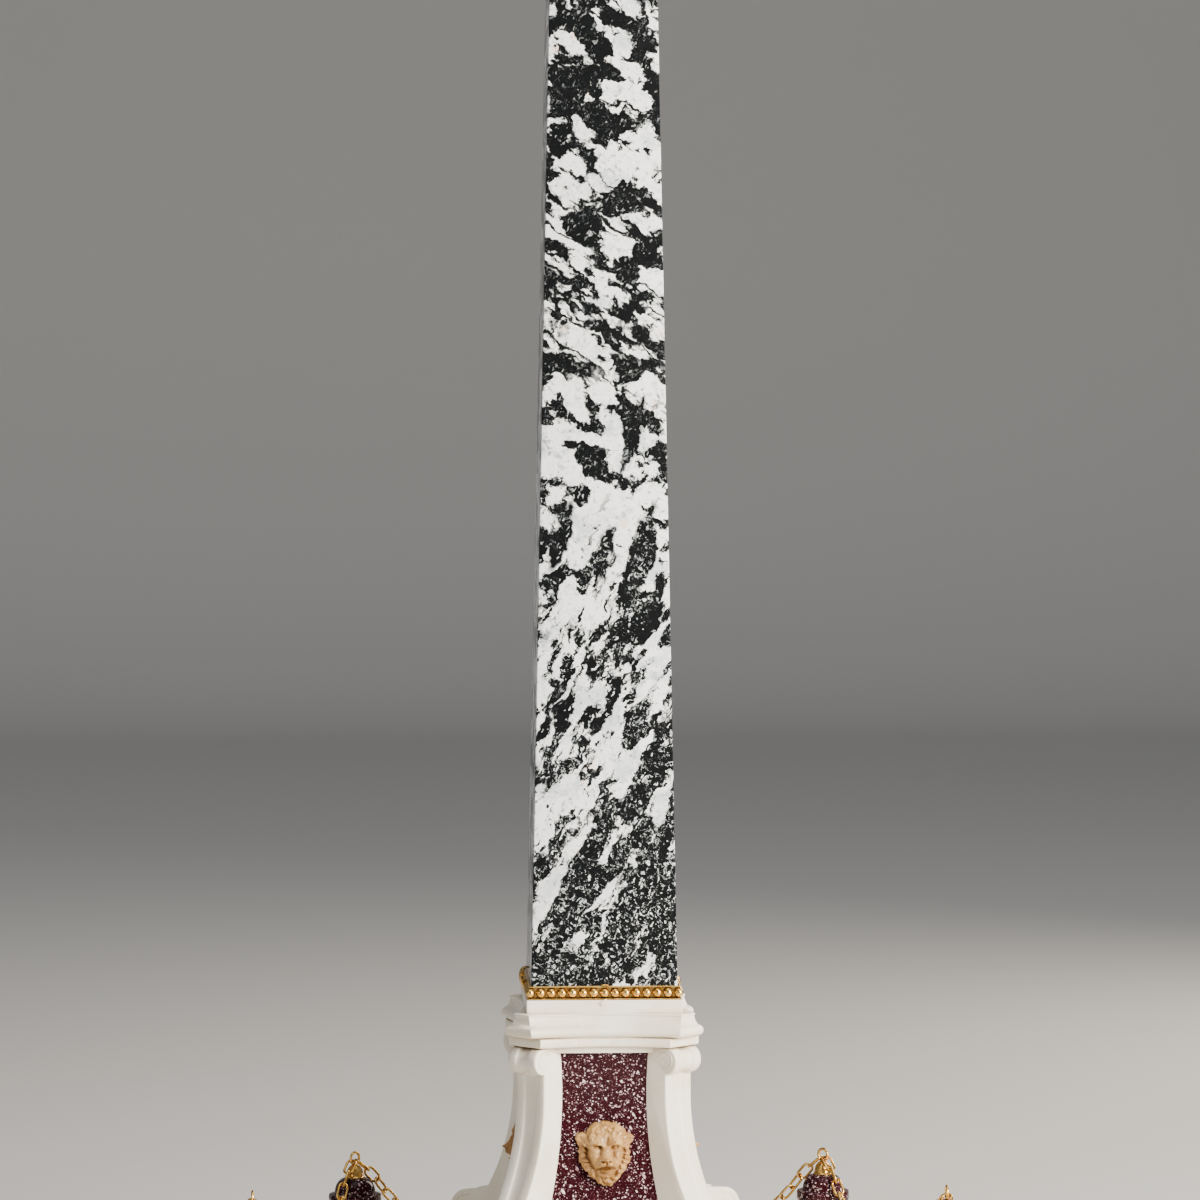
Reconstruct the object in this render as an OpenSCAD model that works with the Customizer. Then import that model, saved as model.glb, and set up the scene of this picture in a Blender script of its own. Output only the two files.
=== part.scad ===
// Table obelisk: a granite needle on a scrolled marble pedestal, ringed by eight chained bollards.
// Millimetres, Z up, front towards -Y, origin at the middle of the underside.

/* [Base] */
// Height of the marble foot moulding
foot_h = 10; // [6:0.5:20]
// Height of the porphyry drum above it
drum_h = 22; // [10:1:40]
// Height of the marble slab that carries the bollards
slab_h = 10; // [6:0.5:20]
// How far the slab runs out past the bollards' feet
slab_margin = 6.5; // [4:0.5:15]
// How far the drum is set in under the slab
drum_inset = 5; // [2:0.5:10]
// How far the foot moulding stands out past the drum
foot_out = 8; // [3:0.5:15]
// Clear width of the walk between the round step and the bollards
walk_w = 26.5; // [15:0.5:60]

/* [Steps] */
// Height of the round marble step
step_h = 12; // [6:0.5:20]
// How far the round step runs out past the corners of the lower plinth
step_out = 26; // [10:1:40]
// Height of the lower, porphyry plinth
lower_plinth_h = 8; // [4:0.5:16]
// How far the lower plinth stands out past the upper one
lower_plinth_out = 6; // [2:0.5:15]
// Height of the upper, marble plinth
upper_plinth_h = 8; // [4:0.5:16]
// How far the upper plinth stands out past the foot scrolls
upper_plinth_out = 8; // [3:0.5:15]

/* [Pedestal] */
// Height of the four scrolled legs
leg_h = 122; // [105:1:160]
// Width of each leg across its fluted face
leg_w = 21; // [18:0.5:26]
// Distance from the axis to the fluted face at the waist, measured on the diagonal
waist_d = 57.2; // [54:0.5:66]
// Height of the waist above the legs' underside
waist_h = 96; // [88:1:105]
// Radius of the hollow sweep of the leg
leg_sweep_r = 115; // [105:1:160]
// Radius of the foot scroll
foot_scroll_r = 14; // [10:0.5:15]
// Distance from the axis to the centre of the foot scroll
foot_scroll_d = 93; // [88:1:105]
// Radius of the roll at the top of the leg
top_roll_r = 7.5; // [5:0.5:9]
// Width of the sunk channel in the fluted face
channel_w = 8.4; // [5:0.2:12]
// Depth of the channel
channel_depth = 1.2; // [0.5:0.1:2]
// Distance from the axis to a panel's face at the waist
panel_waist = 37.9; // [36:0.1:42]
// Radius of the hollow sweep of the panels
panel_sweep_r = 280; // [240:5:400]
// Half width of the hidden core behind the panels
core_half = 33; // [28:0.5:34]
// Height of the plain strip above the panels
frieze_h = 3.5; // [2:0.5:6]
// Half width of that strip
frieze_half = 41.5; // [40.5:0.1:43]

/* [Cornice] */
// Height of the cornice
cornice_h = 25.5; // [20:0.5:35]
// How far the ledge runs out past the collar at the middle of each side
cornice_margin = 0.29; // [0.1:0.05:3]
// How far each side of the cornice is hollowed at its middle
side_hollow = 6.5; // [3:0.5:8]
// Set-back of the canted corners at the bulge and the lower band
corner_cut = 14.4; // [10:0.2:16]
// Set-back of the canted corners at the ledge over the hollow moulding
ledge_corner_cut = 7.6; // [5:0.2:10]
// Set-back of that ledge from the bulge
ledge_in = 4.7; // [3:0.1:6]
// Height of the plain square block on the ledge
cap_block_h = 7.3; // [5:0.1:10]

/* [Collar] */
// How far the row of beads runs out past the shaft's faces
bead_out = 0.56; // [0.3:0.02:2]
// Beads along one side, corner beads included
beads_per_side = 15; // [11:2:19]
// Clear gap between neighbouring beads
bead_gap = 0.48; // [0.2:0.02:1]
// Height of the gilt strips under and over the beads
strip_h = 1.1; // [0.5:0.1:1.5]
// Width of a gilt leaf
leaf_w = 11; // [6:0.5:14]
// Height of a whole leaf above the collar
leaf_h = 6.2; // [4:0.2:10]
// Height of the bent leaf above the collar
bent_leaf_h = 1.8; // [1:0.2:4]

/* [Shaft] */
// Width of the shaft at its foot
shaft_w = 79.8; // [60:0.2:81]
// Height of the shaft up to the pyramid
shaft_h = 633; // [400:1:800]
// Loss of width for each millimetre of height
shaft_taper = 0.0392; // [0.02:0.0002:0.045]
// Height of the pyramid at the top
pyramid_h = 58; // [30:1:90]
// Width of the fine bevel on the shaft's edges
shaft_bevel = 0.8; // [0.3:0.1:2]

/* [Bollards] */
// Radius of a bollard's foot disc
bollard_foot_r = 15.5; // [14:0.1:20]
// Radius of the bollard's stem under the rim
bollard_neck_r = 11.9; // [9:0.1:13.5]
// Radius of the rim band
bollard_rim_r = 15.2; // [14:0.1:20]
// Height of a bollard without its cap
bollard_h = 50.5; // [45:0.5:80]
// Height of the dome over the rim band
dome_h = 9.2; // [6:0.2:12]
// Radius of the gilt cap
cap_r = 5.5; // [4.5:0.1:6]
// Height of the gilt cap
cap_h = 7.5; // [6:0.1:10]
// Outside radius of the eye ring
eye_r = 4.2; // [4:0.1:5]
// Wire diameter of the eye ring
eye_wire = 1.6; // [1.2:0.1:1.8]

/* [Chains] */
// Length of a link
link_l = 11.6; // [10:0.1:14]
// Width of a link
link_w = 7; // [6:0.1:8]
// Wire diameter of a link
link_wire = 1.5; // [1.2:0.05:1.8]
// Play between two links
link_play = 0.08; // [0.05:0.01:0.2]
// Slope of the first link at its hook in degrees
hook_slope = 40; // [30:1:45]
// Slope of the second link, over the bollard's rim
rim_slope = 48; // [40:1:55]
// Slope where the swag begins to hang free in degrees, before rounding to whole links
hang_slope = 54; // [30:1:56]

/* [Masks] */
// Width of a lion mask across its ears
mask_w = 32.2; // [24:0.2:36]
// Height of a lion mask
mask_h = 36; // [28:0.5:45]
// How far the muzzle stands out from the panel
mask_out = 15; // [8:0.5:20]
// Height of the mask's middle above the legs' underside
mask_z = 63.6; // [55:0.2:80]

/* [Hidden] */
$fn = 96;

// Running clearance between faces that meet
seat_gap = 0.05;
bollard_count = 8;
root2 = sqrt(2);

// Collar: the beads stand on a square ring round the shaft's foot
bead_half = shaft_w / 2 + bead_out;
bead_pitch = 2 * bead_half / (beads_per_side - 1);
bead_r = (bead_pitch - bead_gap) / 2;
collar_half = bead_half - 0.9;
strip_half = bead_half + bead_r - 0.6;

// Half width of the cornice at its bulge
cornice_half = strip_half + side_hollow + ledge_in + cornice_margin;

// Heights
slab_z = foot_h + drum_h;
walk_z = slab_z + slab_h;
lower_plinth_z = walk_z + step_h;
upper_plinth_z = lower_plinth_z + lower_plinth_h;
leg_z = upper_plinth_z + upper_plinth_h;
cornice_z = leg_z + leg_h;
collar_z = cornice_z + cornice_h;
bead_z = collar_z + strip_h + bead_r;
shaft_z = bead_z + bead_r + strip_h;
core_top = cornice_z - frieze_h;

// Plan sizes
foot_scroll_out = foot_scroll_d + foot_scroll_r;
upper_plinth_half = (foot_scroll_out + leg_w / 2) / root2 + upper_plinth_out;
upper_plinth_cut = 2 * upper_plinth_half - root2 * (foot_scroll_out + upper_plinth_out);
lower_plinth_half = upper_plinth_half + lower_plinth_out;
lower_plinth_corner = norm([lower_plinth_half, lower_plinth_half - upper_plinth_cut]);
step_r = lower_plinth_corner + step_out;
ring_r = step_r + walk_w + max(bollard_rim_r, bollard_foot_r);
slab_r = ring_r + max(bollard_rim_r, bollard_foot_r) + slab_margin;
drum_r = slab_r - drum_inset;
foot_r = drum_r + foot_out;
core_cant_d = core_half * root2 - leg_w / 2;

// Bollard heads
cap_z = walk_z + bollard_h;
eye_z = cap_z + cap_h + eye_r - 0.4;
eye_mid_r = eye_r - eye_wire / 2;
cap_top_r = 1.2;

// Swag of links: two links lie over each bollard's head and whole links hang between them
link_twist = [0, 66, 132, 42];
bollard_chord = 2 * ring_r * sin(180 / bollard_count);
link_pitch = link_l - 2 * link_wire - link_play;
hook_reach = link_l / 2 - link_wire - eye_wire / 2 - link_play;
hook_out = eye_mid_r * cos(hook_slope);
first_reach = hook_reach + link_pitch / 2;
head_out = hook_out * cos(180 / bollard_count) + first_reach * cos(hook_slope) + link_pitch * cos(rim_slope);
head_drop = (eye_mid_r + first_reach) * sin(hook_slope) + link_pitch * sin(rim_slope);
swag_span = bollard_chord - 2 * head_out;
swag_shift = hook_out * sin(180 / bollard_count);
function sinh(x) = (exp(x) - exp(-x)) / 2;
function cosh(x) = (exp(x) + exp(-x)) / 2;
function asinh(x) = ln(x + sqrt(x * x + 1));
// Halving search: the half angle at which a catenary has a given length for its span
function length_angle(ratio, low = 0.001, high = 4, n = 40) = n == 0 ? (low + high) / 2 :
    let (mid = (low + high) / 2)
    sinh(mid) / mid < ratio ? length_angle(ratio, mid, high, n - 1)
    : length_angle(ratio, low, mid, n - 1);
wanted_angle = asinh(tan(hang_slope));
wanted_length = swag_span * sinh(wanted_angle) / wanted_angle;
link_pairs = round((wanted_length / link_pitch - 1) / 2);
swag_length = (2 * link_pairs + 1) * link_pitch;
swag_angle = length_angle(swag_length / swag_span);
swag_a = swag_span / (2 * swag_angle);
swag_drop = swag_a * (cosh(swag_angle) - 1);
swag_low_z = eye_z - head_drop - swag_drop;

// Distance of a panel's face from the axis at height z
function panel_face(z) = panel_waist + panel_sweep_r
    - sqrt(pow(panel_sweep_r, 2) - pow(z - leg_z - waist_h, 2));

// ---------- base ----------

// Square plan with canted corners and sides hollowed to a shallow arc
module hollow_square(half, cut, hollow) {
    chord = 2 * (half - cut);
    arc_r = (chord * chord / 4 + hollow * hollow) / (2 * hollow);
    difference() {
        polygon([
            [half, half - cut], [half - cut, half], [cut - half, half], [-half, half - cut],
            [-half, cut - half], [cut - half, -half], [half - cut, -half], [half, cut - half]]);
        for (turn = [0:90:270])
            rotate(turn) translate([half - hollow + arc_r, 0]) circle(r = arc_r, $fn = 360);
    }
}

module base_foot() {
    round_r = foot_h * 0.35;
    color("ivory") rotate_extrude($fn = 180) union() {
        square([foot_r - round_r, foot_h]);
        square([foot_r, foot_h - round_r]);
        translate([foot_r - round_r, foot_h - round_r]) circle(r = round_r, $fn = 48);
    }
}

module base_drum() {
    color("#371621") translate([0, 0, foot_h]) cylinder(r = drum_r, h = drum_h, $fn = 180);
}

module base_slab() {
    nose_r = slab_h * 0.3;
    color("ivory") translate([0, 0, slab_z]) rotate_extrude($fn = 180) union() {
        square([slab_r - nose_r, slab_h]);
        translate([0, nose_r]) square([slab_r, slab_h - 2 * nose_r]);
        for (z = [nose_r, slab_h - nose_r])
            translate([slab_r - nose_r, z]) circle(r = nose_r, $fn = 48);
    }
}

module round_step() {
    nose_r = step_h * 0.25;
    color("ivory") translate([0, 0, walk_z]) rotate_extrude($fn = 180) union() {
        square([step_r - nose_r, step_h]);
        square([step_r, step_h - nose_r]);
        translate([step_r - nose_r, step_h - nose_r]) circle(r = nose_r, $fn = 48);
    }
}

module lower_plinth() {
    color("#371621") translate([0, 0, lower_plinth_z]) linear_extrude(lower_plinth_h)
        hollow_square(lower_plinth_half, upper_plinth_cut, side_hollow);
}

module upper_plinth() {
    color("ivory") translate([0, 0, upper_plinth_z]) linear_extrude(upper_plinth_h)
        hollow_square(upper_plinth_half, upper_plinth_cut, side_hollow);
}

// ---------- pedestal ----------

// Square prism with corners canted to the width of the legs
module core_block(z0, z1, half, gap) {
    translate([0, 0, z0]) intersection() {
        translate([-half, -half, 0]) cube([2 * half, 2 * half, z1 - z0]);
        rotate(45) translate([gap - core_cant_d, gap - core_cant_d, 0])
            cube([2 * (core_cant_d - gap), 2 * (core_cant_d - gap), z1 - z0]);
    }
}

module pedestal_core() {
    color("ivory") core_block(leg_z, core_top, core_half, seat_gap);
}

module frieze_strip() {
    slot_w = leg_w + 2 * seat_gap;
    color("ivory") difference() {
        translate([-frieze_half, -frieze_half, core_top]) cube([2 * frieze_half, 2 * frieze_half, frieze_h]);
        for (turn = [45:90:315])
            rotate(turn) translate([core_cant_d - seat_gap, -slot_w / 2, core_top - 1])
                cube([frieze_half, slot_w, frieze_h + 2]);
    }
}

// Side outline of a leg: X runs out along the diagonal, Y is height above the leg's underside
module leg_outline(sink) {
    kink_h = foot_scroll_r * 2 + 3;
    kink_d = waist_d + leg_sweep_r - sqrt(pow(leg_sweep_r, 2) - pow(waist_h - kink_h, 2));
    sweep_top = waist_h;
    difference() {
        translate([core_cant_d, 0]) square([foot_scroll_d - core_cant_d, sweep_top]);
        translate([waist_d + leg_sweep_r - sink, waist_h]) circle(r = leg_sweep_r, $fn = 360);
        polygon([[kink_d - sink, kink_h], [foot_scroll_d, 2 * foot_scroll_r - sink],
            [foot_scroll_d + 1, 2 * foot_scroll_r - sink], [foot_scroll_d + 1, leg_h],
            [kink_d - sink, leg_h]]);
    }
    translate([core_cant_d, 0]) square([foot_scroll_d - core_cant_d, kink_h - 3 - sink]);
    translate([core_cant_d, sweep_top - 1]) square([waist_d - sink - core_cant_d, leg_h - sweep_top + 1]);
    polygon([[core_cant_d, 0], [foot_scroll_d, 0], [foot_scroll_d, 2 * foot_scroll_r - sink],
        [kink_d - sink, kink_h], [core_cant_d, kink_h]]);
    translate([foot_scroll_d, foot_scroll_r]) circle(r = foot_scroll_r - sink);
    translate([waist_d, leg_h - top_roll_r]) circle(r = top_roll_r - sink);
}

// One slice of a leg between two distances from its middle plane
module leg_slice(y0, y1, sink) {
    translate([0, y1, 0]) rotate([90, 0, 0]) linear_extrude(y1 - y0) leg_outline(sink);
}

module leg(turn) {
    color("ivory") rotate(turn) translate([0, 0, leg_z]) {
        leg_slice(-leg_w / 2, -channel_w / 2, 0);
        leg_slice(-channel_w / 2, channel_w / 2, channel_depth);
        leg_slice(channel_w / 2, leg_w / 2, 0);
    }
}

module leg_front_left() leg(225);
module leg_front_right() leg(315);
module leg_back_left() leg(135);
module leg_back_right() leg(45);

// Porphyry panel of one side, hollow in elevation and mitred against the legs
module panel(turn) {
    span = core_top - leg_z;
    reach = panel_face(leg_z) + 1;
    mitre = leg_w / root2 + seat_gap * root2;
    color("#371621") rotate(turn) translate([0, 0, leg_z]) intersection() {
        linear_extrude(span) polygon([
            [mitre - core_half, -core_half - seat_gap], [core_half - mitre, -core_half - seat_gap],
            [reach - mitre, -reach], [mitre - reach, -reach]]);
        rotate([90, 0, -90]) translate([0, 0, -reach]) linear_extrude(2 * reach) difference() {
            translate([core_half, 0]) square([reach - core_half, span]);
            translate([panel_waist + panel_sweep_r, waist_h]) circle(r = panel_sweep_r, $fn = 360);
        }
    }
}

module panel_front() panel(0);
module panel_right() panel(90);
module panel_back() panel(180);
module panel_left() panel(270);

// ---------- lion masks ----------

mask_spokes = 32;
mask_rings = 9;
function bump(x, y, cx, cy, sx, sy) = exp(-pow((x - cx) / sx, 2) - pow((y - cy) / sy, 2));
// Outline of the mask: a mane that narrows to the beard, with two round ears
function mask_edge(a) = let (c = cos(a), s = sin(a), head = mask_w * 0.44, tall = mask_h / 2)
    1 / norm([c / head, s / tall]) * (1 - 0.10 * pow(max(0, -s), 2) * abs(c) * 2)
    + (mask_w / 2 - head + 2.45) * (exp(-pow((a - 32) / 9, 2)) + exp(-pow((a - 148) / 9, 2)));
// Relief of the mask over the panel, from the mane to the muzzle
function mask_relief(t, x, y) = let (w = mask_w / 2, h = mask_h / 2)
    mask_out * (0.46 * sqrt(max(0, 1 - pow(t, 5))) + 0.12 * bump(x, y, 0, 0.1 * h, 0.55 * w, 0.6 * h)
    + 0.42 * bump(x, y, 0, -0.10 * h, 0.26 * w, 0.22 * h) + 0.08 * bump(x, y, 0, 0.5 * h, 0.3 * w, 0.2 * h)
    - 0.10 * bump(x, y, 0.42 * w, 0.18 * h, 0.14 * w, 0.12 * h)
    - 0.10 * bump(x, y, -0.42 * w, 0.18 * h, 0.14 * w, 0.12 * h));
function mask_point(ring, spoke, face) = let (
    t = ring / mask_rings,
    a = spoke * 360 / mask_spokes - (spoke * 360 / mask_spokes > 270 ? 360 : 0),
    r = t * mask_edge(a),
    x = r * cos(a),
    z = r * sin(a),
    lift = face ? mask_relief(t, x, z) : 0,
    height = leg_z + mask_z + z)
    [x, -panel_face(height) - seat_gap - lift, height];

module lion_mask(turn) {
    front = [for (ring = [1:mask_rings]) for (s = [0:mask_spokes - 1]) mask_point(ring, s, ring < mask_rings)];
    back = [for (ring = [mask_rings - 1:-2:1]) for (s = [0:mask_spokes - 1]) mask_point(ring, s, false)];
    points = concat(front, back, [mask_point(0, 0, true), mask_point(0, 0, false)]);
    rows = len(points) / mask_spokes - (2 / mask_spokes);
    tip = len(points) - 2;
    heel = len(points) - 1;
    last = (rows - 1) * mask_spokes;
    faces = concat(
        [for (s = [0:mask_spokes - 1]) [tip, (s + 1) % mask_spokes, s]],
        [for (row = [0:rows - 2]) for (s = [0:mask_spokes - 1])
            let (a = row * mask_spokes, next = (s + 1) % mask_spokes)
            [a + s, a + next, a + mask_spokes + next]],
        [for (row = [0:rows - 2]) for (s = [0:mask_spokes - 1])
            let (a = row * mask_spokes, next = (s + 1) % mask_spokes)
            [a + s, a + mask_spokes + next, a + mask_spokes + s]],
        [for (s = [0:mask_spokes - 1]) [heel, last + s, last + (s + 1) % mask_spokes]]);
    color("#d9b886") rotate(turn) polyhedron(points = points, faces = faces);
}

module lion_mask_front() lion_mask(0);
module lion_mask_right() lion_mask(90);
module lion_mask_back() lion_mask(180);
module lion_mask_left() lion_mask(270);

// ---------- cornice ----------

module square_plate(half, z0, z1) {
    translate([-half, -half, z0]) cube([2 * half, 2 * half, z1 - z0]);
}

band_half = cornice_half - 2.3;
bulge_r = 3;
bulge_z = 8.6;
ledge_half = cornice_half - ledge_in;
ledge_h = cornice_h - cap_block_h;
// Profile from the underside up: height, half width and corner set-back
cornice_profile = concat(
    [[0, band_half - 1.6, corner_cut], [0.7, band_half - 0.4, corner_cut], [2, band_half, corner_cut],
        [4.6, band_half, corner_cut], [5.2, band_half - 0.8, corner_cut]],
    [for (a = [-75:25:75])
        [bulge_z + bulge_r * sin(a), cornice_half - bulge_r + bulge_r * cos(a), corner_cut]],
    [for (k = [1:5]) let (u = k / 5)
        [bulge_z + 3 + u * (ledge_h - bulge_z - 4.4), ledge_half + 1.7 * pow(1 - u, 2) - 0.5 * u,
            corner_cut + (ledge_corner_cut - corner_cut) * u]],
    [[ledge_h - 1, ledge_half, ledge_corner_cut], [ledge_h, ledge_half, ledge_corner_cut]]);

side_steps = 8;
// Plan of one level: each side is a shallow parabola between its two arrises
function plan_ring(z, half, cut) = [for (side = [0:3]) for (k = [0:side_steps])
    let (u = 2 * k / side_steps - 1, along = u * (half - cut), out = half - side_hollow * (1 - u * u),
        c = cos(90 * side), s = sin(90 * side))
    [out * c - along * s, out * s + along * c, z]];

module cornice() {
    count = 4 * (side_steps + 1);
    rows = len(cornice_profile);
    points = concat([for (p = cornice_profile) each plan_ring(cornice_z + p[0], p[1], p[2])],
        [[0, 0, cornice_z], [0, 0, cornice_z + ledge_h]]);
    top_row = (rows - 1) * count;
    faces = concat(
        [for (row = [0:rows - 2]) for (i = [0:count - 1]) let (a = row * count, next = (i + 1) % count)
            [a + i, a + count + next, a + next]],
        [for (row = [0:rows - 2]) for (i = [0:count - 1]) let (a = row * count, next = (i + 1) % count)
            [a + i, a + count + i, a + count + next]],
        [for (i = [0:count - 1]) [rows * count, i, (i + 1) % count]],
        [for (i = [0:count - 1]) [rows * count + 1, top_row + (i + 1) % count, top_row + i]]);
    color("ivory") {
        polyhedron(points = points, faces = faces);
        square_plate(strip_half + 0.1, cornice_z + ledge_h - 0.5, collar_z);
    }
}

// ---------- gilt collar ----------

module beaded_collar() {
    color("goldenrod") {
        square_plate(strip_half, collar_z, collar_z + strip_h);
        square_plate(collar_half, collar_z, shaft_z);
        square_plate(strip_half - 0.5, shaft_z - strip_h, shaft_z);
        for (turn = [0:90:270])
            rotate(turn) for (i = [0:beads_per_side - 2])
                translate([bead_half, i * bead_pitch - bead_half, bead_z]) sphere(r = bead_r, $fn = 24);
    }
}

// Gilt leaf seated on the collar's upper strip against the shaft
module leaf(turn, height) {
    back = shaft_w / 2 + 0.25;
    front = bead_half + bead_r;
    color("goldenrod") rotate(turn) translate([0, 0, shaft_z + seat_gap]) intersection() {
        rotate([90, 0, 90]) linear_extrude(front + 4) polygon([
            [-leaf_w / 2, 0], [leaf_w / 2, 0], [leaf_w / 2, height * 0.5], [leaf_w * 0.3, height * 0.9],
            [0, height], [-leaf_w * 0.3, height * 0.9], [-leaf_w / 2, height * 0.5]]);
        translate([0, leaf_w, 0]) rotate([90, 0, 0]) linear_extrude(2 * leaf_w) polygon([
            [back, 0], [back + 3.2, 0], [front + 1.4, height * 0.35], [front + 0.6, height * 0.6],
            [front + 2.2, height * 0.85], [front + 1.2, height], [back + 1.6, height * 0.9],
            [back, height * 0.4]]);
    }
}

module leaf_left() leaf(180, leaf_h);
module leaf_right() leaf(0, bent_leaf_h);
module leaf_back() leaf(90, leaf_h);

// Broken foot of the missing front leaf
module leaf_stub_front() {
    stub_h = 1.2;
    color("goldenrod") translate([-2.5, -shaft_w / 2 - 2.6, shaft_z + seat_gap]) cube([5, 2.2, stub_h]);
}

// ---------- shaft ----------

function bevel_ring(half, bevel, z) = [
    [half, bevel - half, z], [half, half - bevel, z], [half - bevel, half, z], [bevel - half, half, z],
    [-half, half - bevel, z], [-half, bevel - half, z], [bevel - half, -half, z], [half - bevel, -half, z]];

module shaft() {
    top_half = (shaft_w - shaft_taper * shaft_h) / 2;
    tip_half = shaft_bevel;
    points = concat(bevel_ring(shaft_w / 2, shaft_bevel, shaft_z),
        bevel_ring(top_half, shaft_bevel, shaft_z + shaft_h),
        bevel_ring(tip_half, shaft_bevel / 2, shaft_z + shaft_h + pyramid_h));
    faces = concat([[for (i = [0:7]) i]],
        [for (row = [0, 8]) for (i = [0:7]) let (next = (i + 1) % 8)
            [row + i, row + 8 + i, row + 8 + next, row + next]],
        [[for (i = [7:-1:0]) 16 + i]]);
    color("dimgray") polyhedron(points = points, faces = faces);
}

// ---------- bollards ----------

module at_bollard(i) {
    rotate(360 * i / bollard_count - 90) translate([ring_r, 0, 0]) children();
}

module bollard(i) {
    rim_top = bollard_h - dome_h;
    rim_low = rim_top - 5.8;
    color("#371621") at_bollard(i) translate([0, 0, walk_z]) rotate_extrude() polygon(concat(
        [[0, 0], [bollard_foot_r, 0], [bollard_foot_r, 3], [bollard_neck_r + 1.4, 4.6],
            [bollard_neck_r, rim_low - 2], [bollard_rim_r, rim_low], [bollard_rim_r, rim_top],
            [bollard_neck_r, rim_top]],
        [for (k = [1:6]) let (a = 15 * k)
            [cap_r + (bollard_neck_r - cap_r) * cos(a), rim_top + dome_h * sin(a)]],
        [[0, bollard_h]]));
}

module bollard_1() bollard(0);
module bollard_2() bollard(1);
module bollard_3() bollard(2);
module bollard_4() bollard(3);
module bollard_5() bollard(4);
module bollard_6() bollard(5);
module bollard_7() bollard(6);
module bollard_8() bollard(7);

module caps_and_eyes() {
    color("goldenrod") for (i = [0:bollard_count - 1]) at_bollard(i) {
        translate([0, 0, cap_z]) rotate_extrude() polygon(concat([[0, 0]],
            [for (a = [0:15:90]) [cap_top_r + (cap_r - cap_top_r) * cos(a), cap_h * sin(a)]],
            [[0, cap_h]]));
        translate([0, 0, eye_z]) rotate([0, 90, 0]) rotate_extrude()
            translate([eye_mid_r, 0]) circle(d = eye_wire, $fn = 24);
    }
}

// Oval link lying along X, flat in the XY plane
module link() {
    bend_r = (link_w - link_wire) / 2;
    straight = link_l - link_w;
    for (end = [0, 180]) {
        rotate(end) translate([straight / 2, 0, 0]) rotate(-90) rotate_extrude(angle = 180, $fn = 48)
            translate([bend_r, 0]) circle(d = link_wire, $fn = 24);
        rotate(end) translate([-straight / 2, bend_r, 0]) rotate([0, 90, 0])
            cylinder(d = link_wire, h = straight, $fn = 24);
    }
}

// One link at a place in the swag's plane, with its slope and its twist about its length
module placed_link(x, z, slope, twist) {
    translate([x, 0, z]) rotate([0, -slope, 0]) rotate([twist, 0, 0]) link();
}

// Swag from bollard i to the next: each link stands a quarter turn from the last
module chain(i) {
    color("goldenrod") rotate(360 * (i + 0.5) / bollard_count)
        translate([0, -ring_r * cos(180 / bollard_count) - swag_shift, swag_low_z]) {
        for (n = [-link_pairs:link_pairs]) {
            s = n * link_pitch;
            placed_link(swag_a * asinh(s / swag_a), sqrt(swag_a * swag_a + s * s) - swag_a,
                atan(s / swag_a), link_twist[2 + (link_pairs - abs(n)) % 2]);
        }
        for (side = [-1, 1]) {
            placed_link(side * (swag_span / 2 + link_pitch / 2 * cos(rim_slope)),
                swag_drop + link_pitch / 2 * sin(rim_slope), side * rim_slope, link_twist[1]);
            placed_link(side * (swag_span + 2 * link_pitch * cos(rim_slope) + link_pitch * cos(hook_slope)) / 2,
                swag_drop + link_pitch * sin(rim_slope) + link_pitch / 2 * sin(hook_slope),
                side * hook_slope, link_twist[0]);
        }
    }
}

module chain_1() chain(0);
module chain_2() chain(1);
module chain_3() chain(2);
module chain_4() chain(3);
module chain_5() chain(4);
module chain_6() chain(5);
module chain_7() chain(6);
module chain_8() chain(7);

base_foot();
base_drum();
base_slab();
round_step();
lower_plinth();
upper_plinth();
pedestal_core();
frieze_strip();
leg_front_left();
leg_front_right();
leg_back_left();
leg_back_right();
panel_front();
panel_right();
panel_back();
panel_left();
lion_mask_front();
lion_mask_right();
lion_mask_back();
lion_mask_left();
cornice();
beaded_collar();
leaf_left();
leaf_right();
leaf_back();
leaf_stub_front();
shaft();
bollard_1();
bollard_2();
bollard_3();
bollard_4();
bollard_5();
bollard_6();
bollard_7();
bollard_8();
caps_and_eyes();
chain_1();
chain_2();
chain_3();
chain_4();
chain_5();
chain_6();
chain_7();
chain_8();
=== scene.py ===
import math
import random

import bmesh
import bpy
from mathutils import Matrix, Vector, noise


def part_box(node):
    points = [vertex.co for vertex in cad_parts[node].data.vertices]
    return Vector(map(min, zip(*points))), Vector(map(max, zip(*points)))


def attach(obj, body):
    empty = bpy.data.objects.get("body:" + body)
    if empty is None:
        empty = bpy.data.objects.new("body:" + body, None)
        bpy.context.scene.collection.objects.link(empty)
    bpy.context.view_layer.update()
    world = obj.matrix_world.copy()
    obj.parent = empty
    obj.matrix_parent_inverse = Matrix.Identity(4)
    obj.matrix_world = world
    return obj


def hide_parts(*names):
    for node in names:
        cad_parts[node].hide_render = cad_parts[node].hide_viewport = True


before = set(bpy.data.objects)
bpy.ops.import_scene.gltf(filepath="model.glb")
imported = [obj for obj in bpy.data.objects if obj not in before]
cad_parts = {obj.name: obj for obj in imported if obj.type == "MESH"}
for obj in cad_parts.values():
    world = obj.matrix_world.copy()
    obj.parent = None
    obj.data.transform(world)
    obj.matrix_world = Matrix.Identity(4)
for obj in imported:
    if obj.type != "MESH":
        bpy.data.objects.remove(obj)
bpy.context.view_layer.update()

# the carver's small unevenness comes out the same every time
noise.seed_set(3)
MM = 0.001
ROOT = "root"
SIDES = {"front": 0, "right": 90, "back": 180, "left": 270}
CORNERS = {"leg_front_left": 225, "leg_front_right": 315, "leg_back_left": 135, "leg_back_right": 45}


# ---------- sizes, in millimetres, from the frame ----------

def low(node):
    """Lowest corner of a node in millimetres."""
    return [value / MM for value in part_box(node)[0]]


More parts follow.
